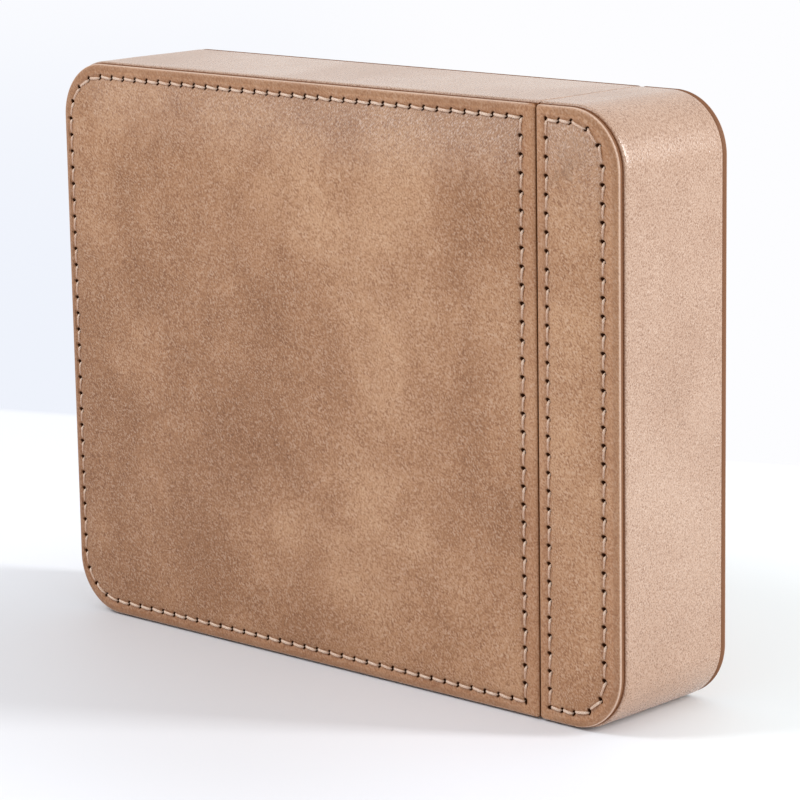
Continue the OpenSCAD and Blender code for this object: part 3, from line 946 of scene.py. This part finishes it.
def make_tray_cover():
    low, high = corners("tray_suede")
    floor_low = corners("tray_floor")[0]
    steps = [even(n) for n in (72, 6, 60, 6, 72, 6, 60, 6)]
    front, back, floor = -low[1], -high[1], -floor_low[1]
    reach_low = np.array([tray_wall_t, tray_wall_t])
    reach_high = np.array([tray_head_wall_t, tray_wall_t])
    box_low, box_high = low[[0, 2]], high[[0, 2]]
    r = tray_wall_t / 2

    def ring(share):
        return rounded_ring(box_low + reach_low * share, box_high - reach_high * share,
                            tray_corner_r, tray_corner_r, steps)

    def swollen(outline, height, size):
        level = np.full(len(outline), height)
        relief = size * soft_noise(outline[:, 0] + outline[:, 1], level, 9, 61)
        from_centre = outline - (box_low + box_high) / 2
        at_wall = np.abs(np.abs(from_centre) - (box_high - box_low) / 2) < 4
        return tub_points(outline - np.sign(from_centre) * at_wall * relief[:, None], height)

    rings = []
    for up, inward in bend(tray_edge_r):
        rings.append(tub_points(ring(inward / tray_wall_t), back + up))
    for height in np.linspace(back + tray_edge_r, front - r, 8)[1:-1]:
        rings.append(swollen(ring(0), height, 0.04))
    for angle in rim_angles:
        rings.append(tub_points(ring((1 - math.cos(angle)) / 2), front - r + r * math.sin(angle)))
    for height in np.linspace(front - r, floor, 10)[1:]:
        rings.append(swollen(ring(1), height, 0.05 if height > floor + 1 else 0.0))
    skin = Skin()
    added = skin.stack(rings)
    fill(skin, added[-1], ring(1), tray_fill_spacing, lambda grid: tub_points(grid, floor))
    base = Skin()
    base.count = skin.count
    base_outline = ring(tray_edge_r / tray_wall_t)
    fill(base, added[0], base_outline, tray_fill_spacing, lambda grid: tub_points(grid, back))
    base.flip()
    skin.points += base.points
    skin.faces += base.faces
    skin.count = base.count
    make_piece("tray_suede_cover", skin, "drawer", ["tray_suede"], "suede")


make_tray_cover()

# %% [markdown]
# ## Suede on the dividers
# Two thin boards lap where they cross, and one suede cover hides the joint. Its top is a full
# round, so the cover is a cross that gets thinner ring by ring up to its ridge.

# %% Divider cover
def cross_ring(low, high, centre, half, steps):
    """A cross from wall to wall whose arms are half as thick as given on each side."""
    (x0, z0), (x1, z1), (cx, cz) = low, high, centre
    knots = [(cx - half, z0), (cx + half, z0), (cx + half, cz - half), (x1, cz - half),
             (x1, cz + half), (cx + half, cz + half), (cx + half, z1), (cx - half, z1),
             (cx - half, cz + half), (x0, cz + half), (x0, cz - half), (cx - half, cz - half)]
    ends = knots[1:] + knots[:1]
    return np.concatenate([line(a, b, even(n)) for a, b, n in zip(knots, ends, steps)])


def make_divider_cover():
    low, high = corners("divider_suede")
    board_low, board_high = corners("divider_cross")
    half = (board_high[0] - board_low[0]) / 2 + suede_t
    centre = ((board_low[0] + board_high[0]) / 2, (low[2] + high[2]) / 2)
    steps = (2, 26, 30, 2, 30, 26, 2, 26, 30, 2, 30, 26)
    front, floor = -low[1], -high[1]
    rings = []

    def lifted(half_now, height):
        ring = cross_ring(low[[0, 2]], high[[0, 2]], centre, half_now, steps)
        points = tub_points(ring, height)
        if height > front - 2:
            points[:, 1] -= 0.05 * soft_noise(ring[:, 0] * 1.3, ring[:, 1] * 1.3, 6, 67)
        return points

    for height in np.linspace(floor, front - half, 5):
        rings.append(lifted(half, height))
    for angle in np.radians([15, 30, 45, 60, 75, 86]):
        rings.append(lifted(half * math.cos(angle), front - half + half * math.sin(angle)))
    skin = Skin()
    added = skin.stack(rings)
    skin.lid(added[0][::-1])
    skin.lid(added[-1])
    make_piece("divider_suede_cover", skin, "drawer", ["divider_suede"], "suede", crease=60)


make_divider_cover()

# %% [markdown]
# ## Watch pads
# A pad is a block of foam with a round well for the watch and a notch for its crown and bow,
# and suede is drawn over it and down into the well. Suede over foam is round wherever it
# bends: at the outer edge, at the lip of the well and at the bottom of the well. Seen from the
# middle of the well, both the well and the pad's outline are met once in each direction, so
# the rings share one set of directions and never cross.

# %% Outline of the well and of the pad, by direction from the well's middle
directions = np.radians(np.linspace(0, 360, 288, endpoint=False))
well_r = 24.0
notch_half_w = 9.0
notch_reach = 38.0
notch_corner_r = 4.5
well_depth = 13.0
well_margin = 2.8


def softened(values, rounds):
    """Takes the sharp corner off a radius that is given by direction."""
    for _ in range(rounds):
        values = (np.roll(values, 1) + 2 * values + np.roll(values, -1)) / 4
    return values


def well_radius():
    c, s = np.cos(directions), np.sin(directions)
    reach_end = np.where(c > 0, notch_reach / np.maximum(c, 1e-6), 0)
    reach_side = notch_half_w / np.maximum(np.abs(s), 1e-6)
    notch = np.where(c > 0, np.minimum(reach_end, reach_side), 0)
    corner_x, corner_z = notch_reach - notch_corner_r, notch_half_w - notch_corner_r
    ahead = c * corner_x + np.abs(s) * corner_z
    beside = corner_x ** 2 + corner_z ** 2 - notch_corner_r ** 2
    rounded = ahead + np.sqrt(np.maximum(ahead ** 2 - beside, 0))
    in_corner = (notch * c > corner_x) & (notch * np.abs(s) > corner_z)
    notch = np.where(in_corner, np.minimum(notch, rounded), notch)
    return softened(np.maximum(well_r, notch), 3)


def pad_radius(low, high):
    """Distance from the well's middle to the pad's outline."""
    c, s = np.cos(directions), np.sin(directions)
    along = np.where(c > 0, high[0] / np.maximum(c, 1e-6), low[0] / np.minimum(c, -1e-6))
    up = np.where(s > 0, high[1] / np.maximum(s, 1e-6), low[1] / np.minimum(s, -1e-6))
    return softened(np.minimum(along, up), 4)


# %% Rings of a pad, outside in: side, crown, lip, well and floor
crown_w = 4.2
crown_h = 3.6
lip_w = 2.4
lip_h = 2.2
foot_r = 1.2
pull_in = 0.7
floor_r = 2.0
dome_h = 0.7
dish_h = 0.25
gather_depth = 0.10
gathers_round = 46


def pad_rings(low, high, top, foot, offset, seed):
    """Each ring as points (x, z, height) about the well's middle, offset deeper in the pad."""
    well = well_radius() + offset
    outer = pad_radius(low, high) - offset
    top = top - offset
    margin = np.maximum(outer - well, 0.5)
    crown = np.minimum(crown_w, 0.56 * margin)
    lip = np.minimum(lip_w, 0.38 * margin)
    c, s = np.cos(directions), np.sin(directions)
    half = (high - low) / 2
    from_middle = np.stack([outer * c, outer * s], 1) - (low + high) / 2
    slack = np.minimum(np.abs(from_middle / half).min(1), 1)
    drawn = pull_in * (1 - slack ** 2) * (np.abs(from_middle / half).max(1) > 0.9)
    uneven = 2 * soft_noise(directions * 9, 0 * directions, 1, seed)
    gather = gather_depth * np.sin(gathers_round * directions + uneven)
    slow = soft_noise(outer * c, outer * s, 11, seed + 1)
    rings = []

    def add(radius, height):
        rings.append(np.stack([radius * c, radius * s, np.zeros(len(c)) + height], 1))

    side = outer - drawn
    for up, inward in bend(foot_r):
        add(outer - inward, foot + up)
    low_side, high_side = foot + foot_r, top - crown_h
    for share in (0.25, 0.5, 0.75, 0.92):
        belly = math.sin(math.pi * share)
        add(outer + (side - outer) * belly, low_side + (high_side - low_side) * share)
    for angle in np.radians([12, 25, 38, 51, 64, 77, 90]):
        add(outer - crown * (1 - math.cos(angle)), high_side + crown_h * math.sin(angle))
    rise = dome_h * smooth((margin - 5) / 12)
    for share in (0.2, 0.4, 0.6, 0.8, 1.0):
        bulge = rise * math.sin(math.pi * share * 0.92) + 0.12 * slow * (1 - share)
        add(outer - crown + (well + lip - outer + crown) * share, top + bulge)
    for angle in np.radians([15, 30, 45, 60, 75, 90]):
        depth = lip_h * (1 - math.cos(angle))
        add(well + lip * (1 - math.sin(angle)) + gather * 0.4 * math.sin(angle), top - depth)
    bottom = top - well_depth
    for share in (0.2, 0.4, 0.6, 0.8, 1.0):
        height = top - lip_h + (bottom + floor_r - top + lip_h) * share
        add(well + gather * (0.4 + 0.9 * math.sin(math.pi * share)), height)
    for angle in np.radians([20, 40, 60, 75, 90]):
        add(well - floor_r * (1 - math.cos(angle)) + gather * 0.4 * math.cos(angle),
            bottom + floor_r * (1 - math.sin(angle)))
    for share in (0.9, 0.76, 0.6, 0.44, 0.3, 0.18, 0.08):
        uneven = soft_noise(well * share * c, well * share * s, 6, seed + 2)
        dish = dish_h * (1 - share) + 0.06 * uneven
        add((well - floor_r) * share, bottom - dish * (1 - share))
    return rings


# %% [markdown]
# The rings give the cover its cut, and cloth then settles it. The cloth is a little too large,
# light pressure stands for the foam, and the foot, the sides and the well's floor are held. Cloth
# is worked out badly at the size of millimetres, so it is simulated twenty times as large. What
# comes out is only slack, so a soft cap keeps each move well short of the foam.

# %% Settling a cover as cloth
cloth_scale = 20.0
cloth_frames = 12
cloth_growth = 0.03
cloth_pressure = 1.5
cloth_cap = 0.35
coarse = 3
first_free = 10
first_held_again = 33


def settled(rings):
    """How far each point of a cover moves as it settles, in millimetres."""
    points = np.array(rings)[:, ::coarse]
    count, around = points.shape[:2]
    ids = np.arange(count * around).reshape(count, around)
    ahead = np.roll(ids, -1, 1)
    quads = np.stack([ids[:-1], ahead[:-1], ahead[1:], ids[1:]], 2).reshape(-1, 4)
    mesh = bpy.data.meshes.new("settling")
    mesh.from_pydata((points.reshape(-1, 3) * MM * cloth_scale).tolist(), [], quads.tolist())
    trial = bpy.data.objects.new("settling", mesh)
    bpy.context.scene.collection.objects.link(trial)
    held = trial.vertex_groups.new(name="held")
    for part in (ids[:first_free], ids[first_held_again:]):
        held.add(part.ravel().tolist(), 1.0, "REPLACE")
    cloth = trial.modifiers.new("cloth", "CLOTH")
    cloth.settings.vertex_group_mass = "held"
    cloth.settings.shrink_min = -cloth_growth
    cloth.settings.use_pressure = True
    cloth.settings.uniform_pressure_force = cloth_pressure
    cloth.settings.effector_weights.gravity = 0.0
    cloth.collision_settings.use_collision = False
    for frame in range(1, cloth_frames + 1):
        bpy.context.scene.frame_set(frame)
    shape = trial.evaluated_get(bpy.context.evaluated_depsgraph_get()).to_mesh()
    moved = np.empty(points.size)
    shape.vertices.foreach_get("co", moved)
    moves = moved.reshape(points.shape) / MM / cloth_scale - points
    bpy.data.objects.remove(trial)
    bpy.data.meshes.remove(mesh)
    bpy.context.scene.frame_set(1)
    size = np.linalg.norm(moves, axis=2, keepdims=True)
    print("settling, mm: mean", round(float(size.mean()), 2), "most", round(float(size.max()), 2))
    moves = moves * cloth_cap / (cloth_cap + size)
    moves = np.concatenate([moves, moves[:, :1]], 1)
    at = np.arange(len(directions)) / coarse
    whole = at.astype(int)
    share = (at - whole)[None, :, None]
    return moves[:, whole] * (1 - share) + moves[:, whole + 1] * share


# %% Pads
foam_below_cover = 0.65


def make_pad(where, seed):
    low, high = corners("pad_cover_" + where)
    middle = np.array([low[0] + well_margin + well_r, (low[2] + high[2]) / 2])
    box_low, box_high = low[[0, 2]] - middle, high[[0, 2]] - middle
    top, foot = -low[1], -high[1]

    def placed(ring):
        return np.stack([ring[:, 0] + middle[0], -ring[:, 2], ring[:, 1] + middle[1]], 1)

    made = []
    for part, offset, slot in (("cover", 0.0, "suede"), ("foam", foam_below_cover, "foam")):
        skin = Skin()
        rings = np.array(pad_rings(box_low, box_high, top, foot, offset, seed))
        if part == "cover":
            rings = rings + settled(rings)
        added = skin.stack([placed(r) for r in rings])
        skin.lid(added[0][::-1])
        skin.lid(added[-1])
        name = "pad_" + part + "_" + where
        piece = make_piece(name + "_piece", skin, "drawer", [name], slot, crease=80)
        made.append(piece)
    return made


pad_places = ("top_left", "top_right", "bottom_left", "bottom_right")
pads = [make_pad(where, 70 + 3 * k) for k, where in enumerate(pad_places)]

# %% [markdown]
# ## Finishes
# A finish is a graph of nodes, and its maths is easier to read as a sum than as a list of
# nodes. One small class stands for a socket that holds a number, so that an expression on it
# adds the Math nodes. Colours go through Mix, because a Math node turns a colour grey.

# %% Sockets that can be reckoned with
class Number:
    """A socket that holds a number."""

    def __init__(self, finish, socket):
        self.finish = finish
        self.socket = socket

    def math(self, operation, first, second=0.0):
        return self.finish.node("ShaderNodeMath", {"operation": operation}, {0: first, 1: second})

    def __add__(self, other):
        return self.math("ADD", self, other)

    def __sub__(self, other):
        return self.math("SUBTRACT", self, other)

    def __rsub__(self, other):
        return self.math("SUBTRACT", other, self)

    def __mul__(self, other):
        return self.math("MULTIPLY", self, other)

    __radd__ = __add__
    __rmul__ = __mul__


class Finish:
    """The nodes of a material under construction, or of the world."""

    def __init__(self, name, world=None):
        self.material = world or bpy.data.materials.new(name)
        self.material.use_nodes = True
        self.tree = self.material.node_tree
        self.tree.nodes.clear()

    def node(self, kind, settings=None, sockets=None, out=0):
        """Adds a node: first its settings, then the values or links of its sockets."""
        made = self.tree.nodes.new(kind)
        for setting, value in (settings or {}).items():
            if setting == "stops":
                self.set_stops(made.color_ramp, value)
            else:
                setattr(made, setting, value)
        for name, value in (sockets or {}).items():
            if isinstance(value, Number):
                self.tree.links.new(value.socket, made.inputs[name])
            else:
                made.inputs[name].default_value = value
        return Number(self, made.outputs[out]) if made.outputs else None

    def set_stops(self, ramp, stops):
        while len(ramp.elements) < len(stops):
            ramp.elements.new(1.0)
        for element, (place, colour) in zip(ramp.elements, stops):
            element.position = place
            element.color = colour

    def vector(self, operation, first, second=(0, 0, 0), out=0):
        """Vector maths; out is 1 where the result is a number."""
        sockets = {0: first, 1: second}
        return self.node("ShaderNodeVectorMath", {"operation": operation}, sockets, out)

    def place(self, stretch=(1, 1, 1)):
        """The point of the piece in millimetres, stretched if wanted."""
        where = self.node("ShaderNodeTexCoord", out=3)
        return self.vector("MULTIPLY", where, tuple(s / MM for s in stretch))

    def noise(self, where, size, detail=2.0, roughness=0.5, distortion=0.0):
        """Noise from 0 to 1 with features about size millimetres across."""
        return self.node("ShaderNodeTexNoise", None, {
            "Vector": where, "Scale": 1 / size, "Detail": detail,
            "Roughness": roughness, "Distortion": distortion,
        })

    def between(self, value, low, high):
        """Moves low..high to 0..1 softly."""
        return self.node("ShaderNodeMapRange", {"interpolation_type": "SMOOTHSTEP"},
                         {0: value, 1: low, 2: high, 3: 0.0, 4: 1.0})

    def mark(self, name):
        return self.node("ShaderNodeAttribute", {"attribute_name": name}, out=2)

    def mix(self, share, first, second, way="MIX"):
        """Mixes two colours."""
        return self.node("ShaderNodeMix", {"data_type": "RGBA", "blend_type": way},
                         {0: share, 6: first, 7: second}, out=2)

    def bump(self, height, normal=None):
        """height is in millimetres."""
        sockets = {"Height": height, "Distance": MM, "Strength": 1.0}
        if normal is not None:
            sockets["Normal"] = normal
        return self.node("ShaderNodeBump", None, sockets)

    def principled(self, **sockets):
        """A Principled shader; underscores in names stand for spaces."""
        named = {name.replace("_", " "): value for name, value in sockets.items()}
        return self.node("ShaderNodeBsdfPrincipled", None, named)

    def end(self, shader):
        self.node("ShaderNodeOutputMaterial", None, {"Surface": shader})
        return self.material

    def surface(self, **sockets):
        return self.end(self.principled(**sockets))


def linear(value):
    """A channel as it looks on a screen, from 0 to 255, made linear."""
    return ((value / 255 + 0.055) / 1.055) ** 2.4 if value > 10 else value / 255 / 12.92


def shade(*channels):
    """A colour from its red, green and blue on a screen."""
    return (*map(linear, channels), 1.0)


# %% [markdown]
# ### Leather
# The real leather is a pull-up hide: wax and dye lie unevenly in it, so it is cloudy, darker
# and more orange where it was pressed. Its pores and pebbles are a third of a millimetre wide,
# and a little longer along a slant. Inside the top row of stitches lie fine creases, which run
# inward and lean away from the seam; their pale crests and a slight paling over the creased
# zone are a painted highlight, and their troughs a painted shade. Clouds come from two sizes
# of noise, pebbles from a third, and the marks stored on the mesh say where margin, fold, holes
# and creases are. Painted highlight also lies on the fold's crest, and painted shade in the
# needle slots, in the groove under the fold, where the roll starts to turn, along the stitch
# valley and, faintly, towards the left of the whole hide.

# %% Leather of the panels and of the rim, with its sizes in millimetres
cloud_size = 40
patch_size = 11
pebble_size = 0.33
freckle_size = 2.2
crease_size = 0.23
cloud_offset = (-435.0, 840.0, -41.0)
grain_slant = math.radians(-50)
grain_stretch = (0.6, 1, 1)
crease_slant = math.radians(-35)
crease_cos = math.cos(crease_slant)
crease_sin = math.sin(crease_slant)
crease_stretch = 0.28


def leather(name, dark, middle, light, panel):
    finish = Finish(name)
    where = finish.place()
    moved = finish.vector("ADD", where, cloud_offset)
    clouds = finish.noise(moved, cloud_size, 3.0, 0.55, 0.4)
    patches = finish.noise(moved, patch_size, 4.0, 0.62, 0.3)
    # The hide is painted a little darker towards the left: a painted shade.
    to_the_left = finish.vector("DOT_PRODUCT", where, (-1, 0, 0), out=1)
    painted_shade_leftwards = finish.between(to_the_left, -10, 90) * 0.06
    tone = finish.between(clouds * 0.70 + patches * 0.30 - painted_shade_leftwards, 0.27, 0.73)
    stops = [(0.0, dark), (0.5, middle), (1.0, light)]
    colour = finish.node("ShaderNodeValToRGB", {"stops": stops}, {"Fac": tone})
    turn = {"Vector": where, "Rotation": (0, grain_slant, 0)}
    drawn = finish.vector("MULTIPLY", finish.node("ShaderNodeMapping", None, turn), grain_stretch)
    pebbles = finish.noise(drawn, pebble_size, 1.0, 0.5)
    freckles = finish.noise(where, freckle_size, 3.0, 0.6)
    rubbed = finish.between(freckles, 0.35, 0.65)
    pores = finish.between(pebbles, 0.52, 0.3)
    crests = finish.between(pebbles, 0.48, 0.7)
    deep = finish.mix(1.0, colour, shade(190, 168, 150), "MULTIPLY")
    colour = finish.mix(pores * (0.55 + rubbed * 0.25), colour, deep)
    pale = finish.mix(0.45, colour, shade(240, 218, 200))
    colour = finish.mix(crests * (0.3 + rubbed * 0.25), colour, pale)
    height = pebbles * (0.10 if panel else 0.06)
    rough = 0.44 - (tone - 0.5) * 0.08 + (pebbles - 0.5) * 0.2
    # The fold mark: on a panel its crest, painted lighter as a painted highlight; on the rim the
    # rounded edge, painted darker as a painted shade of the groove.
    fold = finish.mark("fold")
    if panel:
        pull = finish.mark("pull")
        along = finish.mark("crease_along")
        across = finish.mark("crease_across")
        wander = finish.noise(where, 2.4, 1.0)
        over = along * crease_cos + across * crease_sin + wander * 0.8
        down = (across * crease_cos - along * crease_sin) * crease_stretch
        streak = finish.node("ShaderNodeCombineXYZ", None, {0: over, 1: down, 2: wander * 0.4})
        creases = finish.noise(streak, crease_size, 1.0, 0.5)
        height = height * (1 - pull * 0.6) + creases * pull * 0.24
        colour = finish.mix(finish.mark("margin") * 0.25, colour, shade(172, 118, 80))
        # Crease troughs are painted darker, a painted shade; their crests, and the creased zone as
        # a whole, are painted paler, a painted highlight.
        dull = finish.between(creases, 0.48, 0.34) * pull
        colour = finish.mix(dull * 0.4, colour, shade(140, 98, 70))
        painted_crease_highlight = finish.between(creases, 0.52, 0.66) * pull
        colour = finish.mix(painted_crease_highlight * 0.42 + pull * 0.08, colour, shade(236, 216, 204))
        rough = rough - pull * 0.10
        # Along the stitch valley: painted darker, a painted shade.
        colour = finish.mix(finish.mark("valley") * 0.3, colour, shade(126, 84, 56))
        # Where the roll begins to turn: painted darker, a painted shade.
        colour = finish.mix(finish.mark("roll") * 0.3, colour, shade(132, 92, 62))
        # On a panel the fold's crest is painted lighter, with lower roughness: a painted
        # highlight.
        colour = finish.mix(fold * 0.6, colour, shade(236, 208, 188))
        rough = rough - fold * 0.12
        # Needle slots and the groove under the fold are painted dark on a surface that mirrors
        # nothing: a painted shade.
        slot = finish.between(finish.mark("hole"), 0.12, 0.5)
        dark = 1 - (1 - slot) * (1 - finish.mark("under") * 0.9)
        painted_shade_colour = finish.mix(slot, shade(112, 70, 42), shade(44, 22, 10))
    else:
        rough = rough - 0.16
        # On the rim the rounded edge beside the panels is painted dark: a painted shade of the
        # groove.
        dark = finish.between(fold, 0.3, 1.0) * 0.85
        painted_shade_colour = finish.mix(pores, shade(140, 90, 56), shade(112, 68, 40))
    bump = finish.bump(height)
    skin = finish.principled(Base_Color=colour, Roughness=rough, Normal=bump,
                             Specular_IOR_Level=0.5 if panel else 0.8,
                             Sheen_Weight=0.0 if panel else 0.06, Sheen_Roughness=0.3)
    # The painted shade: a dark, dull surface that reflects nothing.
    painted_shade_surface = finish.principled(Base_Color=painted_shade_colour, Roughness=0.9, IOR=1.0, Normal=bump)
    return finish.end(finish.node("ShaderNodeMixShader", None, {0: dark, 1: skin, 2: painted_shade_surface}))


panel_tones = [shade(150, 103, 65), shade(171, 124, 86), shade(192, 147, 109)]
rim_tones = [shade(168, 132, 107), shade(177, 142, 118), shade(186, 153, 130)]
panel_leather = leather("panel leather", *panel_tones, True)
band_leather = leather("rim leather", *rim_tones, False)

# %% [markdown]
# ### Thread, suede, wood, card, foam and metal
# Each of these gets its own grain at its own size: fibres along the plies, nap on the suede,
# growth lines in the wood, flecks in the card, cells in the foam, and fine scratches on metal.

# %% Thread
def thread_finish():
    finish = Finish("thread")
    where = finish.place()
    fibre = finish.noise(where, 0.16, 2.0, 0.6)
    slow = finish.noise(where, 6, 2.0)
    lit = finish.between(fibre, 0.35, 0.7)
    colour = finish.mix(lit, shade(226, 188, 160), shade(255, 238, 220))
    colour = finish.mix(finish.between(slow, 0.4, 0.7) * 0.4, colour, shade(222, 178, 150))
    # The grooves between the plies are painted darker: a painted shade.
    colour = finish.mix(finish.mark("groove") * 0.5, colour, shade(140, 100, 72))
    colour = finish.mix(finish.mark("shaded") * 0.5, colour, shade(184, 134, 102))
    return finish.surface(Base_Color=colour, Roughness=0.3 + (fibre - 0.5) * 0.3,
                          Specular_IOR_Level=0.7, Normal=finish.bump(fibre * 0.02))


thread_material = thread_finish()


# %% Suede
def suede_finish(name, dark, light):
    finish = Finish(name)
    where = finish.place()
    nap = finish.noise(where, 0.3, 2.0, 0.7)
    tufts = finish.noise(where, 1.8, 3.0, 0.6)
    brushed = finish.noise(where, 34, 3.0, 0.5, 0.3)
    tone = finish.between(brushed * 0.5 + tufts * 0.3 + nap * 0.2, 0.3, 0.7)
    colour = finish.mix(tone, dark, light)
    fallen = finish.mix(0.35, colour, shade(120, 92, 66))
    colour = finish.mix(finish.between(nap, 0.5, 0.3), colour, fallen)
    return finish.surface(Base_Color=colour, Roughness=0.92 + (nap - 0.5) * 0.1, Sheen_Weight=0.4,
                          Sheen_Roughness=0.4, Specular_IOR_Level=0.2,
                          Normal=finish.bump(nap * 0.12 + tufts * 0.1))


suede_material = suede_finish("suede", shade(184, 156, 128), shade(206, 180, 154))
pad_suede_material = suede_finish("pad suede", shade(198, 174, 148), shade(220, 198, 174))


# %% Wood, card and foam
def wood_finish(name, dark, light, stretch):
    finish = Finish(name)
    where = finish.place(stretch)
    growth = finish.node("ShaderNodeTexWave", {"wave_type": "BANDS", "bands_direction": "Z"}, {
        "Vector": where, "Scale": 0.12, "Distortion": 5.0, "Detail": 3.0, "Detail Scale": 0.6,
    }, out=1)
    fibre = finish.noise(where, 0.7, 3.0, 0.6)
    colour = finish.mix(growth * 0.6 + fibre * 0.4, dark, light)
    return finish.surface(Base_Color=colour, Roughness=0.7 - fibre * 0.15,
                          Normal=finish.bump(fibre * 0.05))


def card_finish():
    finish = Finish("grey card")
    where = finish.place()
    fleck = finish.noise(where, 0.5, 3.0, 0.7)
    slow = finish.noise(where, 12, 2.0)
    colour = finish.mix(fleck * 0.7 + slow * 0.3, shade(150, 146, 138), shade(196, 192, 184))
    return finish.surface(Base_Color=colour, Roughness=0.85 + (fleck - 0.5) * 0.1,
                          Normal=finish.bump(fleck * 0.03))


def foam_finish():
    finish = Finish("foam")
    where = finish.place()
    cells = finish.node("ShaderNodeTexVoronoi", {"feature": "F1"}, {"Vector": where, "Scale": 1.4})
    colour = finish.mix(finish.between(cells, 0.1, 0.6), shade(92, 92, 88), shade(150, 150, 144))
    return finish.surface(Base_Color=colour, Roughness=0.95 - cells * 0.1,
                          Normal=finish.bump(cells * 0.2))


def metal_finish(name, dark, light, rough):
    finish = Finish(name)
    scratches = finish.noise(finish.place((0.2, 1, 1)), 0.3, 3.0, 0.7)
    dull = finish.noise(finish.place(), 2.5, 2.0)
    colour = finish.mix(dull, dark, light)
    return finish.surface(Base_Color=colour, Metallic=1.0, Roughness=rough + scratches * 0.15,
                          Normal=finish.bump(scratches * 0.004))


frame_wood = wood_finish("fibreboard", shade(150, 116, 82), shade(190, 156, 118), (0.3, 1, 1))
tray_wood = wood_finish("plywood", shade(178, 140, 98), shade(218, 186, 144), (0.12, 1, 1))
card_material = card_finish()
foam_material = foam_finish()
nickel = metal_finish("nickel", shade(176, 172, 164), shade(214, 210, 202), 0.2)
zinc = metal_finish("zinc", shade(158, 162, 168), shade(204, 207, 212), 0.28)

# %% Every piece gets its finish
finish_of_slot = {
    "panel_leather": panel_leather,
    "band_leather": band_leather,
    "thread": thread_material,
    "card": card_material,
    "frame_wood": frame_wood,
    "tray_wood": tray_wood,
    "suede": suede_material,
    "foam": foam_material,
    "magnet": nickel,
    "screw": zinc,
}


def dress(piece, material):
    piece.data.materials.clear()
    piece.data.materials.append(material)


for made in bpy.context.scene.objects:
    if "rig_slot" in made:
        dress(made, finish_of_slot[made["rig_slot"]])
for cover, _ in pads:
    dress(cover, pad_suede_material)

hard_words = {
    "rail": frame_wood,
    "board": frame_wood,
    "bulkhead": frame_wood,
    "card": card_material,
    "magnets": nickel,
    "tray_screws": zinc,
    "tray_": tray_wood,
    "divider": tray_wood,
}
for name, node in frame["nodes"].items():
    if not node.hide_render:
        dress(node, next(m for word, m in hard_words.items() if word in name))
print("kept from the frame:", sum(not n.hide_render for n in frame["nodes"].values()))

# %% [markdown]
# ## Floor and light
# The case stands on a white table, in a bright white room that gives most of the light. A tall
# narrow softbox on the right, a little behind, lights the right side and throws the shadow that
# runs to the left. A smaller one at the front left lights the front at a slant, which is what
# makes thread and grain stand out. The table ends in a soft line behind the case, and away from
# the case it fades to a plain pale tone.

# %% Floor. Its pattern is laid out in millimetres, and table_half is in metres
towards_edge = (-0.354, 0.935, 0.0)
edge_distance = 220
edge_softness = 5
leftwards = (-0.734, -0.679, 0.0)
table_half = 6.0


def floor_finish():
    finish = Finish("white table")
    where = finish.place()
    slow = finish.noise(where, 220, 2.0)
    colour = finish.mix(slow, shade(236, 239, 246), shade(240, 243, 250))
    beyond = finish.vector("DOT_PRODUCT", where, towards_edge, out=1)
    aside = finish.vector("DOT_PRODUCT", where, leftwards, out=1)
    apart = finish.vector("LENGTH", where, out=1)
    # Close to the case on its left the table is painted darker: a painted shadow.
    close = finish.between(apart, 170, 90) * finish.between(aside, -30, 40)
    colour = finish.mix(close, colour, shade(230, 233, 239))
    # To the right of the case the table is painted paler: painted light.
    colour = finish.mix(finish.between(aside, -30, -90), colour, shade(246, 252, 255))
    table = finish.principled(Base_Color=colour, Roughness=0.6 + (slow - 0.5) * 0.1)
    wall = finish.between(beyond, edge_distance - edge_softness, edge_distance + edge_softness)
    far = finish.between(apart, 260, 620)
    depth = finish.between(beyond, 250, 1700)
    bluish = finish.mix(depth, shade(239, 243, 252), shade(250, 251, 255))
    white = finish.mix(wall * finish.between(aside, -60, 120), shade(253, 253, 255), bluish)
    glow = finish.principled(Base_Color=(0, 0, 0, 1), IOR=1.0, Roughness=1.0,
                             Emission_Color=white, Emission_Strength=1.0)
    glowing = 1 - (1 - far) * (1 - wall)
    return finish.end(finish.node("ShaderNodeMixShader", None, {0: glowing, 1: table, 2: glow}))


def make_floor():
    square = [(x * table_half, y * table_half, 0) for x, y in ((-1, -1), (1, -1), (1, 1), (-1, 1))]
    mesh = bpy.data.meshes.new("floor")
    mesh.from_pydata(square, [], [(0, 1, 2, 3)])
    made = bpy.data.objects.new("floor", mesh)
    bpy.context.scene.collection.objects.link(made)
    made.data.materials.append(floor_finish())


make_floor()

# %% Lamps and world. Lamps have their places and sizes in metres and their power in watts
lamp_aim = (0, 0, 0.07)
room_light = 0.72


def make_softbox(name, place, size, power):
    lamp = bpy.data.lights.new(name, "AREA")
    lamp.shape = "RECTANGLE"
    lamp.size, lamp.size_y = size
    lamp.energy = power
    made = bpy.data.objects.new(name, lamp)
    bpy.context.scene.collection.objects.link(made)
    made.location = place
    towards = Vector(lamp_aim) - Vector(place)
    made.rotation_euler = towards.to_track_quat("-Z", "Y").to_euler()


def make_world():
    """White where it is seen or mirrored, and dimmer as a light."""
    world = bpy.data.worlds.new("studio")
    bpy.context.scene.world = world
    sky = Finish("studio", world)
    camera_ray, glossy_ray, passing_ray = (
        sky.node("ShaderNodeLightPath", out="Is " + kind + " Ray")
        for kind in ("Camera", "Glossy", "Transmission")
    )
    seen = camera_ray.math("MAXIMUM", camera_ray, glossy_ray)
    seen = seen.math("MAXIMUM", seen, passing_ray)
    strength = seen * (1 - room_light) + room_light
    white = sky.node("ShaderNodeBackground", None, {"Color": (1, 1, 1, 1), "Strength": strength})
    sky.node("ShaderNodeOutputWorld", None, {"Surface": white})


make_softbox("side", (1.256, 0.725, 0.676), (0.22, 0.85), 16.5)
make_softbox("front left", (-0.59, -0.70, 0.99), (0.3, 0.45), 6)
make_world()
bpy.context.scene.view_settings.view_transform = "Standard"
